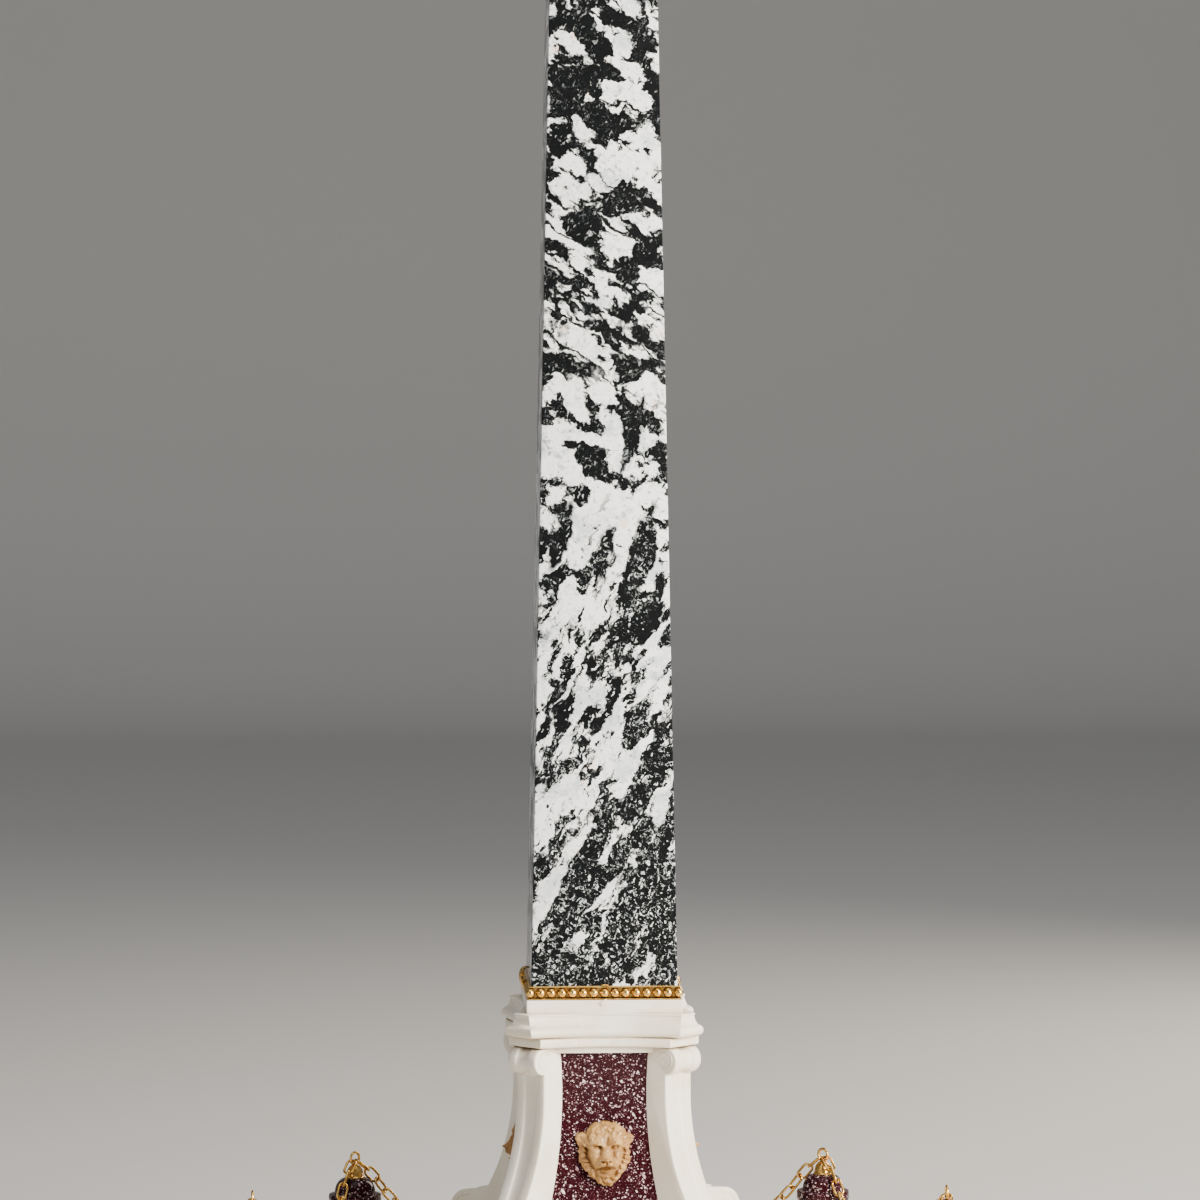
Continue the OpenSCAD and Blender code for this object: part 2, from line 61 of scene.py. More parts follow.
def high(node):
    """Highest corner of a node in millimetres."""
    return [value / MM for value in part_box(node)[1]]


LEG_Z = low("leg_front_left")[2]
LEG_H = high("leg_front_left")[2] - LEG_Z
CORE_HALF = high("pedestal_core")[0]
CORE_TOP = high("pedestal_core")[2]
LEG_WIDTH = 21.0
CORE_CANT = CORE_HALF * math.sqrt(2) - LEG_WIDTH / 2
WAIST = 57.2
WAIST_H = 96.0
LEG_SWEEP = 115.0
FOOT_R = 14.0
FOOT_D = 93.0
ROLL_R = 7.5
PANEL_WAIST = 37.9
PANEL_SWEEP = 280.0
SIDE_HOLLOW = 6.5
CORNICE_Z = low("cornice")[2]
CORNICE_H = high("cornice")[2] - CORNICE_Z
CORNICE_HALF = high("cornice")[0]
LEDGE_IN = 4.7
BLOCK_H = 7.3
BLOCK_HALF = CORNICE_HALF - LEDGE_IN - SIDE_HOLLOW - 0.2
COLLAR_Z = low("beaded_collar")[2]
BEAD_R = 2.65
BEAD_OUT = 0.56
SHAFT_Z = low("shaft")[2]
SHAFT_TOP = high("shaft")[2]
SHAFT_HALF = high("shaft")[0]
PYRAMID_H = 58.0
SHAFT_TAPER = 0.0392
WALK_Z = high("base_slab")[2]
RING_R = (high("bollard_3")[0] + low("bollard_3")[0]) / 2
BOLLARD_TOP = high("bollard_1")[2]
EYE_TOP = high("caps_and_eyes")[2]


def panel_face(z):
    """Distance of a panel's face from the axis at height z."""
    return PANEL_WAIST + PANEL_SWEEP - math.sqrt(PANEL_SWEEP ** 2 - (z - LEG_Z - WAIST_H) ** 2)


# ---------- mesh making ----------

def make_piece(name, mesh, material, nodes, crease=38.0, turn=0.0):
    """Turns a bmesh in millimetres into a finished piece on the root body."""
    bmesh.ops.remove_doubles(mesh, verts=mesh.verts, dist=0.0005)
    swing = Matrix.Rotation(math.radians(turn), 3, "Z")
    bmesh.ops.rotate(mesh, verts=mesh.verts, cent=(0, 0, 0), matrix=swing)
    bmesh.ops.scale(mesh, vec=(MM, MM, MM), verts=mesh.verts)
    bmesh.ops.recalc_face_normals(mesh, faces=mesh.faces)
    data = bpy.data.meshes.new(name)
    mesh.to_mesh(data)
    mesh.free()
    for face in data.polygons:
        face.use_smooth = True
    data.set_sharp_from_angle(angle=math.radians(crease))
    data.materials.append(material)
    piece = bpy.data.objects.new(name, data)
    bpy.context.scene.collection.objects.link(piece)
    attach(piece, ROOT)
    if nodes:
        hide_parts(*nodes)
    return piece


def lofted(rings, into=None):
    """Loft through closed rings of points, with flat caps at both ends."""
    mesh = into or bmesh.new()
    verts = [mesh.verts.new(point) for point in rings[0]]
    mesh.faces.new(verts)
    edges = [mesh.edges.get((verts[i - 1], verts[i])) for i in range(len(verts))]
    for ring in rings[1:]:
        pulled = bmesh.ops.extrude_edge_only(mesh, edges=edges)
        fresh = {part for part in pulled["geom"] if isinstance(part, bmesh.types.BMVert)}
        verts = [next(edge.other_vert(vert) for edge in vert.link_edges if edge.other_vert(vert) in fresh)
                 for vert in verts]
        for vert, point in zip(verts, ring):
            vert.co = point
        edges = [mesh.edges.get((verts[i - 1], verts[i])) for i in range(len(verts))]
    mesh.faces.new(verts)
    return mesh


def turned(profile, steps=128, into=None):
    """Lathe-turned solid: profile points are (radius, height)."""
    mesh = into or bmesh.new()
    verts = [mesh.verts.new((radius, 0, height)) for radius, height in profile]
    edges = [mesh.edges.new((verts[i], verts[i + 1])) for i in range(len(verts) - 1)]
    bmesh.ops.spin(mesh, geom=verts + edges, cent=(0, 0, 0), axis=(0, 0, 1), angle=math.tau,
                   steps=steps, use_merge=True, use_duplicate=False)
    bmesh.ops.remove_doubles(mesh, verts=mesh.verts, dist=0.0005)
    return mesh


def arc(cx, cy, r, start, end, steps, rise=None):
    """Points on an arc of radius r, or of its own rise; angles in degrees."""
    angles = [math.radians(start + (end - start) * k / steps) for k in range(steps + 1)]
    return [(cx + r * math.cos(a), cy + (rise or r) * math.sin(a)) for a in angles]


def smooth_step(value):
    """Soft rise from 0 to 1."""
    value = min(1.0, max(0.0, value))
    return value * value * (3 - 2 * value)


def hollow_square(half, cut, hollow, z, steps=16):
    """Square plan with canted corners and hollowed sides, as a closed ring."""
    ring = []
    for side in range(4):
        turn = math.radians(90 * side)
        for k in range(steps + 1):
            u = 2 * k / steps - 1
            along = u * (half - cut)
            out = half - hollow * (1 - u * u)
            ring.append((out * math.cos(turn) - along * math.sin(turn),
                         out * math.sin(turn) + along * math.cos(turn), z))
    return ring


def square_ring(half, z, corner=0.4):
    """Plain square plan with its corners just broken."""
    return hollow_square(half, corner, 0.0, z, 2)


# ---------- materials ----------

def new_material(name):
    """Empty node material: returns it with its tree, its shader and the piece's own coordinates."""
    material = bpy.data.materials.new(name)
    material.use_nodes = True
    tree = material.node_tree
    shader = tree.nodes["Principled BSDF"]
    place = tree.nodes.new("ShaderNodeTexCoord")
    return material, tree, shader, place.outputs["Object"]


def add(tree, kind, links=None, **settings):
    """Adds a node, sets its properties or inputs and links its inputs."""
    node = tree.nodes.new(kind)
    for key, value in settings.items():
        if hasattr(node, key):
            setattr(node, key, value)
    for key, value in (links or {}).items():
        if isinstance(value, bpy.types.NodeSocket):
            tree.links.new(value, node.inputs[key])
        else:
            node.inputs[key].default_value = value
    return node


def maths(tree, operation, a, b=0.0, clamp=False):
    return add(tree, "ShaderNodeMath", {0: a, 1: b}, operation=operation, use_clamp=clamp).outputs[0]


def times(tree, a, b, clamp=False):
    return maths(tree, "MULTIPLY", a, b, clamp)


def minus(tree, a, b):
    return maths(tree, "SUBTRACT", a, b)


def blend_colour(tree, mask, first, second):
    """First colour where the mask is 0, second where it is 1."""
    return add(tree, "ShaderNodeMix", {0: mask, 6: first, 7: second}, data_type="RGBA").outputs[2]


def grains(tree, vector, scale, detail=4.0, rough=0.55, warp=0.0):
    node = add(tree, "ShaderNodeTexNoise", {"Vector": vector, "Scale": scale, "Detail": detail,
                                            "Roughness": rough, "Distortion": warp})
    return node.outputs["Fac"]


def band(tree, value, start, end, to_min=0.0, to_max=1.0, smooth=True):
    """Maps a value to a mask between start and end."""
    node = add(tree, "ShaderNodeMapRange", {"Value": value, "From Min": start, "From Max": end,
                                            "To Min": to_min, "To Max": to_max},
               interpolation_type="SMOOTHSTEP" if smooth else "LINEAR")
    return node.outputs["Result"]


def turned_space(tree, vector, turn, stretch):
    """A pattern's own space: turned by degrees, then stretched."""
    angles = [math.radians(degrees) for degrees in turn]
    spin = add(tree, "ShaderNodeVectorRotate", {"Vector": vector, "Rotation": angles},
               rotation_type="EULER_XYZ")
    return add(tree, "ShaderNodeMapping", {"Vector": spin.outputs[0], "Scale": stretch},
               vector_type="POINT").outputs["Vector"]


def pushed(tree, vector, colour, amount):
    """A pattern's space, pushed about by a noise colour."""
    shift = add(tree, "ShaderNodeVectorMath", {0: colour, 1: (0.5, 0.5, 0.5)}, operation="SUBTRACT")
    pull = add(tree, "ShaderNodeVectorMath", {0: shift.outputs[0], "Scale": amount}, operation="SCALE")
    return add(tree, "ShaderNodeVectorMath", {0: vector, 1: pull.outputs[0]}, operation="ADD").outputs[0]


def effect_group(name, inputs, outputs):
    """Empty shader node group: a vector in, then named values in and out."""
    tree = bpy.data.node_groups.new(name, "ShaderNodeTree")
    tree.interface.new_socket("Vector", in_out="INPUT", socket_type="NodeSocketVector")
    for label, value in inputs:
        socket = tree.interface.new_socket(label, in_out="INPUT", socket_type="NodeSocketFloat")
        socket.default_value = value
    for label in outputs:
        tree.interface.new_socket(label, in_out="OUTPUT", socket_type="NodeSocketFloat")
    start = tree.nodes.new("NodeGroupInput")
    end = tree.nodes.new("NodeGroupOutput")
    return tree, start.outputs, end.inputs


def make_crystal_group():
    """Scattered angular crystals: a mask, and a random tint for each crystal."""
    tree, given, result = effect_group(
        "crystals", [("Scale", 300.0), ("Size", 0.3), ("Share", 0.5)], ["Mask", "Tint"])
    rough = add(tree, "ShaderNodeTexNoise", {"Vector": given["Vector"], "Detail": 2.0})
    tree.links.new(times(tree, given["Scale"], 1.6), rough.inputs["Scale"])
    spot = pushed(tree, given["Vector"], rough.outputs["Color"], maths(tree, "DIVIDE", 0.45, given["Scale"]))
    cells = add(tree, "ShaderNodeTexVoronoi", {"Vector": spot, "Scale": given["Scale"], "Exponent": 1.4},
                feature="F1", distance="MINKOWSKI")
    chance = add(tree, "ShaderNodeSeparateColor", {"Color": cells.outputs["Color"]})
    wanted = maths(tree, "LESS_THAN", chance.outputs[0], given["Share"])
    reach = times(tree, given["Size"], maths(tree, "ADD", chance.outputs[1], 0.45))
    inside = times(tree, minus(tree, reach, cells.outputs["Distance"]), 14.0, clamp=True)
    tree.links.new(times(tree, inside, wanted), result["Mask"])
    tree.links.new(chance.outputs[2], result["Tint"])
    return tree


def make_crevice_shade_group():
    """Painted shade in corners and hollows, from ambient occlusion: 1 in the crevice, 0 in the open."""
    tree, given, result = effect_group(
        "crevice_shade", [("Reach", 0.004), ("Start", 0.75), ("Patch Scale", 120.0)], ["Mask"])
    # painted shade: the ambient occlusion marks where shade falls in corners and hollows, made patchy by noise
    shade = add(tree, "ShaderNodeAmbientOcclusion", {"Distance": given["Reach"]}, samples=6)
    patch = add(tree, "ShaderNodeTexNoise",
                {"Vector": given["Vector"], "Scale": given["Patch Scale"], "Detail": 3.0})
    uneven = times(tree, minus(tree, patch.outputs["Fac"], 0.5), 0.35)
    open_to_light = maths(tree, "ADD", shade.outputs["AO"], uneven)
    fade = maths(tree, "DIVIDE", minus(tree, given["Start"], open_to_light), 0.45, clamp=True)
    tree.links.new(fade, result["Mask"])
    return tree


CRYSTALS = make_crystal_group()
CREVICE_SHADE = make_crevice_shade_group()


def crystals(tree, vector, scale, size, share):
    node = add(tree, "ShaderNodeGroup", {"Vector": vector, "Scale": scale, "Size": size, "Share": share},
               node_tree=CRYSTALS)
    return node.outputs["Mask"], node.outputs["Tint"]


def crevice_shade(tree, vector, reach, start, patch_scale=120.0):
    return add(tree, "ShaderNodeGroup", {"Vector": vector, "Reach": reach, "Start": start,
                                         "Patch Scale": patch_scale}, node_tree=CREVICE_SHADE).outputs["Mask"]


def surface_bump(tree, shader, height, strength, distance):
    node = add(tree, "ShaderNodeBump", {"Height": height, "Strength": strength, "Distance": distance})
    tree.links.new(node.outputs["Normal"], shader.inputs["Normal"])


def polished_granite():
    """Black and white granite: frosty pale clouds, ragged black crystals and slanting dark veins."""
    material, tree, shader, place = new_material("polished granite")
    link = tree.links.new
    height = add(tree, "ShaderNodeSeparateXYZ", {"Vector": place}).outputs["Z"]
    warp = add(tree, "ShaderNodeTexNoise", {"Vector": place, "Scale": 90.0, "Detail": 5.0, "Roughness": 0.65})
    bent = pushed(tree, place, warp.outputs["Color"], 0.011)

    # share of black at each height, from the collar to the tip
    darkness = add(tree, "ShaderNodeValToRGB", {"Fac": band(tree, height, 0.22, 0.92, smooth=False)})
    ramp = darkness.color_ramp
    stops = [(0.0, 0.585), (0.09, 0.570), (0.15, 0.520), (0.24, 0.500), (0.32, 0.475), (0.42, 0.440),
             (0.52, 0.455), (0.62, 0.475), (0.72, 0.490), (0.84, 0.475), (1.0, 0.490)]
    while len(ramp.elements) < len(stops):
        ramp.elements.new(0.5)
    for element, (position, value) in zip(ramp.elements, stops):
        element.position = position
        element.color = (value, value, value, 1)
    level = darkness.outputs["Color"]

    # upper part: round clouds parted by black, drawn out towards the lower right
    falling = turned_space(tree, bent, (0, -36, 0), (0.85, 1.0, 1.25))
    cloud = grains(tree, falling, 66.0, detail=8.0, rough=0.57, warp=0.2)
    puff = add(tree, "ShaderNodeTexVoronoi", {"Vector": falling, "Scale": 70.0, "Smoothness": 0.3},
               feature="SMOOTH_F1")
    puffs = times(tree, minus(tree, 0.42, puff.outputs["Distance"]), 0.34)
    upper_tone = maths(tree, "ADD", cloud, puffs)

    # lower part: ragged blades rising to the right
    rising = turned_space(tree, bent, (0, 60, 0), (0.50, 1.0, 1.35))
    blades = grains(tree, rising, 66.0, detail=8.0, rough=0.60, warp=0.3)
    cell = add(tree, "ShaderNodeTexVoronoi", {"Vector": rising, "Scale": 120.0},
               feature="F1", distance="CHEBYCHEV")
    cell_tone = add(tree, "ShaderNodeSeparateColor", {"Color": cell.outputs["Color"]}).outputs[0]
    lower_tone = maths(tree, "ADD", blades, times(tree, minus(tree, cell_tone, 0.5), 0.16))
    shift = maths(tree, "ADD", height, times(tree, minus(tree, warp.outputs["Fac"], 0.5), 0.20))
    lower = band(tree, shift, 0.50, 0.44)
    tone_mix = add(tree, "ShaderNodeMix", {0: lower}, data_type="FLOAT")
    link(upper_tone, tone_mix.inputs[2])
    link(lower_tone, tone_mix.inputs[3])
    tone = tone_mix.outputs[0]
    black = times(tree, minus(tree, level, tone), 38.0, clamp=True)

    # long dark veins above, upright blades in the middle, needles below
    vein_space = turned_space(tree, bent, (0, -37, 0), (0.26, 0.6, 1.3))
    vein_noise = grains(tree, vein_space, 30.0, detail=4.0, rough=0.55)
    vein = band(tree, maths(tree, "ABSOLUTE", minus(tree, vein_noise, 0.5)), 0.024, 0.012)
    vein = times(tree, vein, band(tree, shift, 0.50, 0.56))
    upright = turned_space(tree, bent, (0, 78, 0), (0.36, 1.0, 1.25))
    lens_mask, _ = crystals(tree, upright, 44.0, 0.46, 0.52)
    lens_mask = times(tree, lens_mask, band(tree, maths(tree, "ABSOLUTE",
                      minus(tree, shift, 0.50)), 0.085, 0.06))
    needle_mask, _ = crystals(tree, turned_space(tree, bent, (0, 63, 0), (0.22, 1.0, 1.5)), 200.0, 0.36, 0.26)
    needle_mask = times(tree, needle_mask, band(tree, shift, 0.54, 0.46))
    for mask in (vein, lens_mask, needle_mask):
        black = maths(tree, "MAXIMUM", black, mask)

    # black grit in the pale stone, white flecks in the black, thicker near the foot
    grit = band(tree, grains(tree, bent, 460.0, detail=4.0, rough=0.7, warp=0.6), 0.385, 0.355)
    black = maths(tree, "MAXIMUM", black, times(tree, grit, 0.85))
    squiggle = grains(tree, bent, 400.0, detail=3.0, rough=0.65, warp=1.6)
    fleck = band(tree, squiggle, 0.585, 0.635)
    patch = band(tree, grains(tree, place, 60.0, detail=3.0), 0.40, 0.62)
    fleck = times(tree, fleck, maths(tree, "MAXIMUM", patch, band(tree, height, 0.36, 0.27)))
    fleck = times(tree, fleck, band(tree, height, 0.56, 0.42, 0.15, 1.0))
    spark, spark_tone = crystals(tree, rising, 620.0, 0.44, 0.20)
    fleck = maths(tree, "MAXIMUM", fleck, times(tree, spark, band(tree, height, 0.60, 0.30, 0.25, 1.0)))

    # pale ground: cool white, frosted with grey, and a rare peach tint
    mottle = grains(tree, bent, 230.0, detail=8.0, rough=0.78)
    frost = band(tree, mottle, 0.50, 0.34)
    pale = blend_colour(tree, frost, (0.90, 0.915, 0.92, 1), (0.40, 0.45, 0.48, 1))
    peach = band(tree, grains(tree, place, 52.0, detail=2.0), 0.66, 0.74)
    pale = blend_colour(tree, times(tree, peach, 0.7), pale, (0.90, 0.66, 0.50, 1))
    shade = band(tree, grains(tree, bent, 44.0, detail=6.0, rough=0.7), 0.50, 0.36)
    pale = blend_colour(tree, times(tree, shade, 0.6), pale, (0.40, 0.45, 0.48, 1))
    dark = blend_colour(tree, mottle, (0.0012, 0.0016, 0.002, 1), (0.010, 0.011, 0.011, 1))
    flecks = blend_colour(tree, spark_tone, (0.34, 0.39, 0.42, 1), (0.84, 0.86, 0.86, 1))
    dark = blend_colour(tree, fleck, dark, flecks)
    link(blend_colour(tree, black, pale, dark), shader.inputs["Base Color"])

    link(band(tree, grains(tree, place, 300.0, detail=3.0), 0.3, 0.7, 0.10, 0.19), shader.inputs["Roughness"])
    shader.inputs["Specular IOR Level"].default_value = 0.25
    surface_bump(tree, shader, grains(tree, place, 260.0, detail=3.0), 0.10, 0.00015)
    return material


def polished_porphyry():
    """Purple-brown porphyry, packed with pinkish white laths and specks."""
    material, tree, shader, place = new_material("polished porphyry")
    link = tree.links.new
    ground_tone = grains(tree, place, 170.0, detail=6.0, rough=0.65)
    ground = blend_colour(tree, ground_tone, (0.008, 0.0011, 0.0020, 1), (0.036, 0.0055, 0.0090, 1))
    layers = []
    for turn, stretch, scale, size, share in (
            ((12, 28, 20), (1.0, 0.8, 0.45), 600.0, 0.34, 0.22),
            ((60, -42, 5), (1.0, 0.8, 0.48), 690.0, 0.33, 0.22),
            ((5, 84, 40), (0.8, 1.0, 0.60), 900.0, 0.34, 0.24),
            ((33, 10, 75), (1.0, 0.9, 0.80), 1300.0, 0.40, 0.26)):
        layers.append(crystals(tree, turned_space(tree, place, turn, stretch), scale, size, share))
    mask, tint = layers[0]
    for other, _ in layers[1:]:
        mask = maths(tree, "MAXIMUM", mask, other)
    faded = band(tree, grains(tree, place, 520.0, detail=3.0), 0.28, 0.60, 0.30, 1.0)
    crystal = blend_colour(tree, tint, (0.50, 0.30, 0.34, 1), (0.90, 0.76, 0.79, 1))
    colour = blend_colour(tree, times(tree, mask, faded), ground, crystal)
    dust, _ = crystals(tree, place, 1900.0, 0.42, 0.30)
    colour = blend_colour(tree, times(tree, dust, 0.40), colour, (0.36, 0.20, 0.23, 1))
    link(colour, shader.inputs["Base Color"])
    link(band(tree, grains(tree, place, 240.0), 0.3, 0.7, 0.08, 0.16), shader.inputs["Roughness"])
    shader.inputs["Specular IOR Level"].default_value = 0.12
    surface_bump(tree, shader, mask, 0.08, 0.0001)
    return material


def honed_marble():
    """Warm white marble with faint clouds and tool marks, brown painted shade in its hollows and near-black
    painted shade in its deepest corners.
    """
    material, tree, shader, place = new_material("honed white marble")
    link = tree.links.new
    cloud = grains(tree, place, 22.0, detail=6.0, rough=0.6, warp=0.8)
    base = blend_colour(tree, band(tree, cloud, 0.35, 0.65), (0.85, 0.76, 0.61, 1), (0.92, 0.865, 0.76, 1))
    streak_space = turned_space(tree, place, (0, 0, 0), (1.0, 1.0, 0.10))
    streak = band(tree, grains(tree, streak_space, 210.0, detail=4.0, rough=0.6), 0.60, 0.76)
    base = blend_colour(tree, times(tree, streak, 0.35), base, (0.62, 0.47, 0.29, 1))
    # painted shade: ambient occlusion darkens the hollows to brown, then the deepest corners to near black
    hollow_shade = crevice_shade(tree, place, 0.005, 0.80)
    base = blend_colour(tree, times(tree, hollow_shade, 0.62), base, (0.42, 0.29, 0.15, 1))
    deep_shade = crevice_shade(tree, place, 0.0016, 0.62, 300.0)
    base = blend_colour(tree, times(tree, deep_shade, 0.8), base, (0.16, 0.09, 0.04, 1))
    pit, _ = crystals(tree, place, 480.0, 0.16, 0.10)
    base = blend_colour(tree, times(tree, pit, 0.35), base, (0.38, 0.27, 0.16, 1))
    link(base, shader.inputs["Base Color"])
    link(band(tree, grains(tree, place, 160.0, detail=5.0), 0.3, 0.7, 0.30, 0.46), shader.inputs["Roughness"])
    shader.inputs["Subsurface Weight"].default_value = 0.12
    shader.inputs["Subsurface Radius"].default_value = (0.004, 0.003, 0.002)
    shader.inputs["Subsurface Scale"].default_value = 1.0
    fine = maths(tree, "ADD", grains(tree, place, 700.0, detail=3.0),
                 times(tree, grains(tree, streak_space, 500.0), 0.7))
    surface_bump(tree, shader, fine, 0.16, 0.0002)
    return material


def satin_yellow_marble():
    """Pale yellow marble of the lion masks, with dark brown painted shade in the carved hollows."""
    material, tree, shader, place = new_material("satin yellow marble")
    link = tree.links.new
    cloud = grains(tree, place, 130.0, detail=5.0, rough=0.6, warp=0.6)
    base = blend_colour(tree, band(tree, cloud, 0.35, 0.65), (0.32, 0.155, 0.042, 1), (0.53, 0.305, 0.105, 1))
    # painted shade: ambient occlusion darkens the carved hollows to dark brown
    hollow_shade = crevice_shade(tree, place, 0.0035, 0.86, 400.0)
    base = blend_colour(tree, times(tree, hollow_shade, 0.85), base, (0.15, 0.060, 0.013, 1))
    link(base, shader.inputs["Base Color"])
    link(band(tree, grains(tree, place, 500.0), 0.3, 0.7, 0.30, 0.46), shader.inputs["Roughness"])
    shader.inputs["Subsurface Weight"].default_value = 0.10
    shader.inputs["Subsurface Radius"].default_value = (0.003, 0.002, 0.001)
    shader.inputs["Subsurface Scale"].default_value = 1.0
    surface_bump(tree, shader, grains(tree, place, 1100.0, detail=3.0), 0.2, 0.0002)
    return material


def gilt_bronze():
    """Rich polished gilding, worn a little redder, with dark brown painted shade in the corners."""
    material, tree, shader, place = new_material("gilt bronze")
    link = tree.links.new
    wear = grains(tree, place, 260.0, detail=4.0, rough=0.6)
    base = blend_colour(tree, band(tree, wear, 0.35, 0.68), (0.80, 0.43, 0.085, 1), (0.95, 0.63, 0.20, 1))
    # painted shade: ambient occlusion darkens the corners of the gilding to dark brown
    hollow_shade = crevice_shade(tree, place, 0.0022, 0.72, 500.0)
    base = blend_colour(tree, times(tree, hollow_shade, 0.9), base, (0.10, 0.035, 0.010, 1))
    link(base, shader.inputs["Base Color"])
    shader.inputs["Metallic"].default_value = 1.0
    link(band(tree, grains(tree, place, 600.0, detail=3.0), 0.3, 0.7, 0.16, 0.32), shader.inputs["Roughness"])
    surface_bump(tree, shader, grains(tree, place, 800.0, detail=3.0), 0.14, 0.0002)
    return material


GRANITE = polished_granite()
PORPHYRY = polished_porphyry()
MARBLE = honed_marble()
YELLOW = satin_yellow_marble()
GILT = gilt_bronze()


# ---------- base and steps ----------

def make_base():
    foot_r, _, foot_top = high("base_foot")
    drum_r, _, drum_top = high("base_drum")
    slab_r = high("base_slab")[0]
    foot_r -= 0.05
    foot = [(0, 0), (foot_r - 0.6, 0), (foot_r, 0.6)]
    foot += arc(foot_r - 3.5, foot_top - 3.5, 3.5, 0, 90, 10) + [(drum_r + 1.0, foot_top)]
    foot += [(drum_r - 2, foot_top), (0, foot_top)]
    make_piece("marble_foot_moulding", turned(foot, 192), MARBLE, ["base_foot"])
    drum = [(0, foot_top), (drum_r - 0.3, foot_top), (drum_r, foot_top + 0.3),
            (drum_r, drum_top - 0.3), (drum_r - 0.3, drum_top), (0, drum_top)]
    make_piece("porphyry_drum", turned(drum, 192), PORPHYRY, ["base_drum"])
    slab = [(0, drum_top), (slab_r - 3, drum_top)]
    slab += arc(slab_r - 3, drum_top + 3, 3, -90, 0, 8) + arc(slab_r - 3, WALK_Z - 3, 3, 0, 90, 8)
    slab += [(slab_r - 5.2, WALK_Z), (slab_r - 5.5, WALK_Z - 0.5), (slab_r - 6.1, WALK_Z - 0.5),
             (slab_r - 6.4, WALK_Z), (0, WALK_Z)]
    make_piece("marble_slab", turned(slab, 192), MARBLE, ["base_slab"])
    step_r, _, step_top = high("round_step")
    step = [(0, WALK_Z), (step_r - 1.5, WALK_Z), (step_r - 1.5, WALK_Z + 2.2), (step_r - 0.9, WALK_Z + 2.8),
            (step_r, WALK_Z + 3.4)] + arc(step_r - 3, step_top - 3, 3, 0, 90, 10) + [(0, step_top)]
    make_piece("marble_round_step", turned(step, 192), MARBLE, ["round_step"])
    for name, node, material, slot in (
            ("porphyry_plinth", "lower_plinth", PORPHYRY, "porphyry"),
            ("marble_plinth", "upper_plinth", MARBLE, "white_marble")):
        half, _, top = high(node)
        cut = high("upper_plinth")[0] * 2 - math.sqrt(2) * (FOOT_D + FOOT_R + 8.0)
        levels = [(0.0, low(node)[2]), (0.0, top - 1.0), (0.3, top - 0.4), (1.0, top)]
        rings = [hollow_square(half - inset, cut, SIDE_HOLLOW, z) for inset, z in levels]
        make_piece(name, lofted(rings), material, [node])


# ---------- legs ----------

def leg_ring(y, sink):
    """Closed side outline of a leg at one distance from its middle plane; sink cuts into the face."""
    kink_h = FOOT_R * 2 + 3
    outline = arc(WAIST, LEG_H - ROLL_R, ROLL_R - sink, 90, -90, 20)
    outline[0] = (WAIST, LEG_H - sink)
    outline.append((WAIST - sink * 0.7, LEG_H - 2 * ROLL_R - 0.6))
    for k in range(26):
        h = LEG_H - 2 * ROLL_R - 1.5 - (LEG_H - 2 * ROLL_R - 1.5 - kink_h) * k / 25
        drop = max(0.0, WAIST_H - h)
        outline.append((WAIST - sink + LEG_SWEEP - math.sqrt(LEG_SWEEP ** 2 - drop ** 2), h))
    kink_d = outline[-1][0]
    outline.append((kink_d + 1.2, kink_h - 0.9))
    outline.append(((kink_d + FOOT_D) / 2 + 0.5, kink_h - 1.9 - sink * 0.7))
    outline += arc(FOOT_D, FOOT_R, FOOT_R - sink, 90, -90, 28)
    outline[-1] = (FOOT_D, 0)
    outline += [(FOOT_D - 12, 0), (CORE_CANT, 0), (CORE_CANT, LEG_H)]
    return [(d, y, LEG_Z + h) for d, h in outline]


def spiral_ridge(mesh, centre, side, outer, inner, turns, gauge, start):
    """Raised spiral line on the side of a scroll."""
    steps = int(28 * turns)
    rings = []
    for k in range(steps + 1):
        t = k / steps
        angle = math.radians(start) - math.tau * turns * t
        radius = outer + (inner - outer) * t
        thick = gauge * (0.45 + 0.55 * math.sin(math.pi * min(1.0, 0.12 + t)) if t < 0.9 else 0.6)
        outward = Vector((math.cos(angle), 0, math.sin(angle)))
        middle = Vector((centre[0], side, LEG_Z + centre[1])) + radius * outward
        across = Vector((0, 1, 0))
        rings.append([middle + outward * (thick * math.cos(a)) + across * (thick * 0.8 * math.sin(a))
                      for a in (math.tau * i / 8 for i in range(8))])
    lofted(rings, into=mesh)


def make_legs():
    half = LEG_WIDTH / 2
    sections = [(half, 0.95), (half - 0.12, 0.55), (half - 0.45, 0.2), (half - 1.0, 0.0), (half - 3.4, 0.0),
                (4.75, 0.0), (4.35, 0.12), (4.05, 0.55), (3.3, 0.95), (2.0, 1.15), (0.0, 1.22)]
    cross = [(-y, sink) for y, sink in sections] + [(y, sink) for y, sink in reversed(sections[:-1])]
    for node, turn in CORNERS.items():
        mesh = lofted([leg_ring(y, sink) for y, sink in cross])
        for side in (-half, half):
            spiral_ridge(mesh, (FOOT_D, FOOT_R), side, FOOT_R - 2.4, 1.6, 2.3, 0.75, 100)
            spiral_ridge(mesh, (WAIST, LEG_H - ROLL_R), side, ROLL_R - 1.6, 1.0, 1.6, 0.42, 200)
        for vert in mesh.verts:
            vert.co += noise.noise_vector(vert.co * 0.045 + Vector((turn, 0, 0))) * 0.14
        make_piece("marble_" + node, mesh, MARBLE, [node], crease=42, turn=turn)


# ---------- panels, core and frieze ----------

def make_panels():
    gap = 0.05
    mitre = LEG_WIDTH / math.sqrt(2) + gap * math.sqrt(2)
    for name, turn in SIDES.items():
        rings = []
        for k in range(49):
            z = LEG_Z + (CORE_TOP - LEG_Z) * k / 48
            face = panel_face(z)
            back = CORE_HALF + gap
            rings.append([(mitre - back, -back, z), (back - mitre, -back, z),
                          (face - mitre, -face, z), (mitre - face, -face, z)])
        make_piece("porphyry_panel_" + name, lofted(rings), PORPHYRY, ["panel_" + name],
                   crease=25, turn=turn)


# ---------- cornice ----------

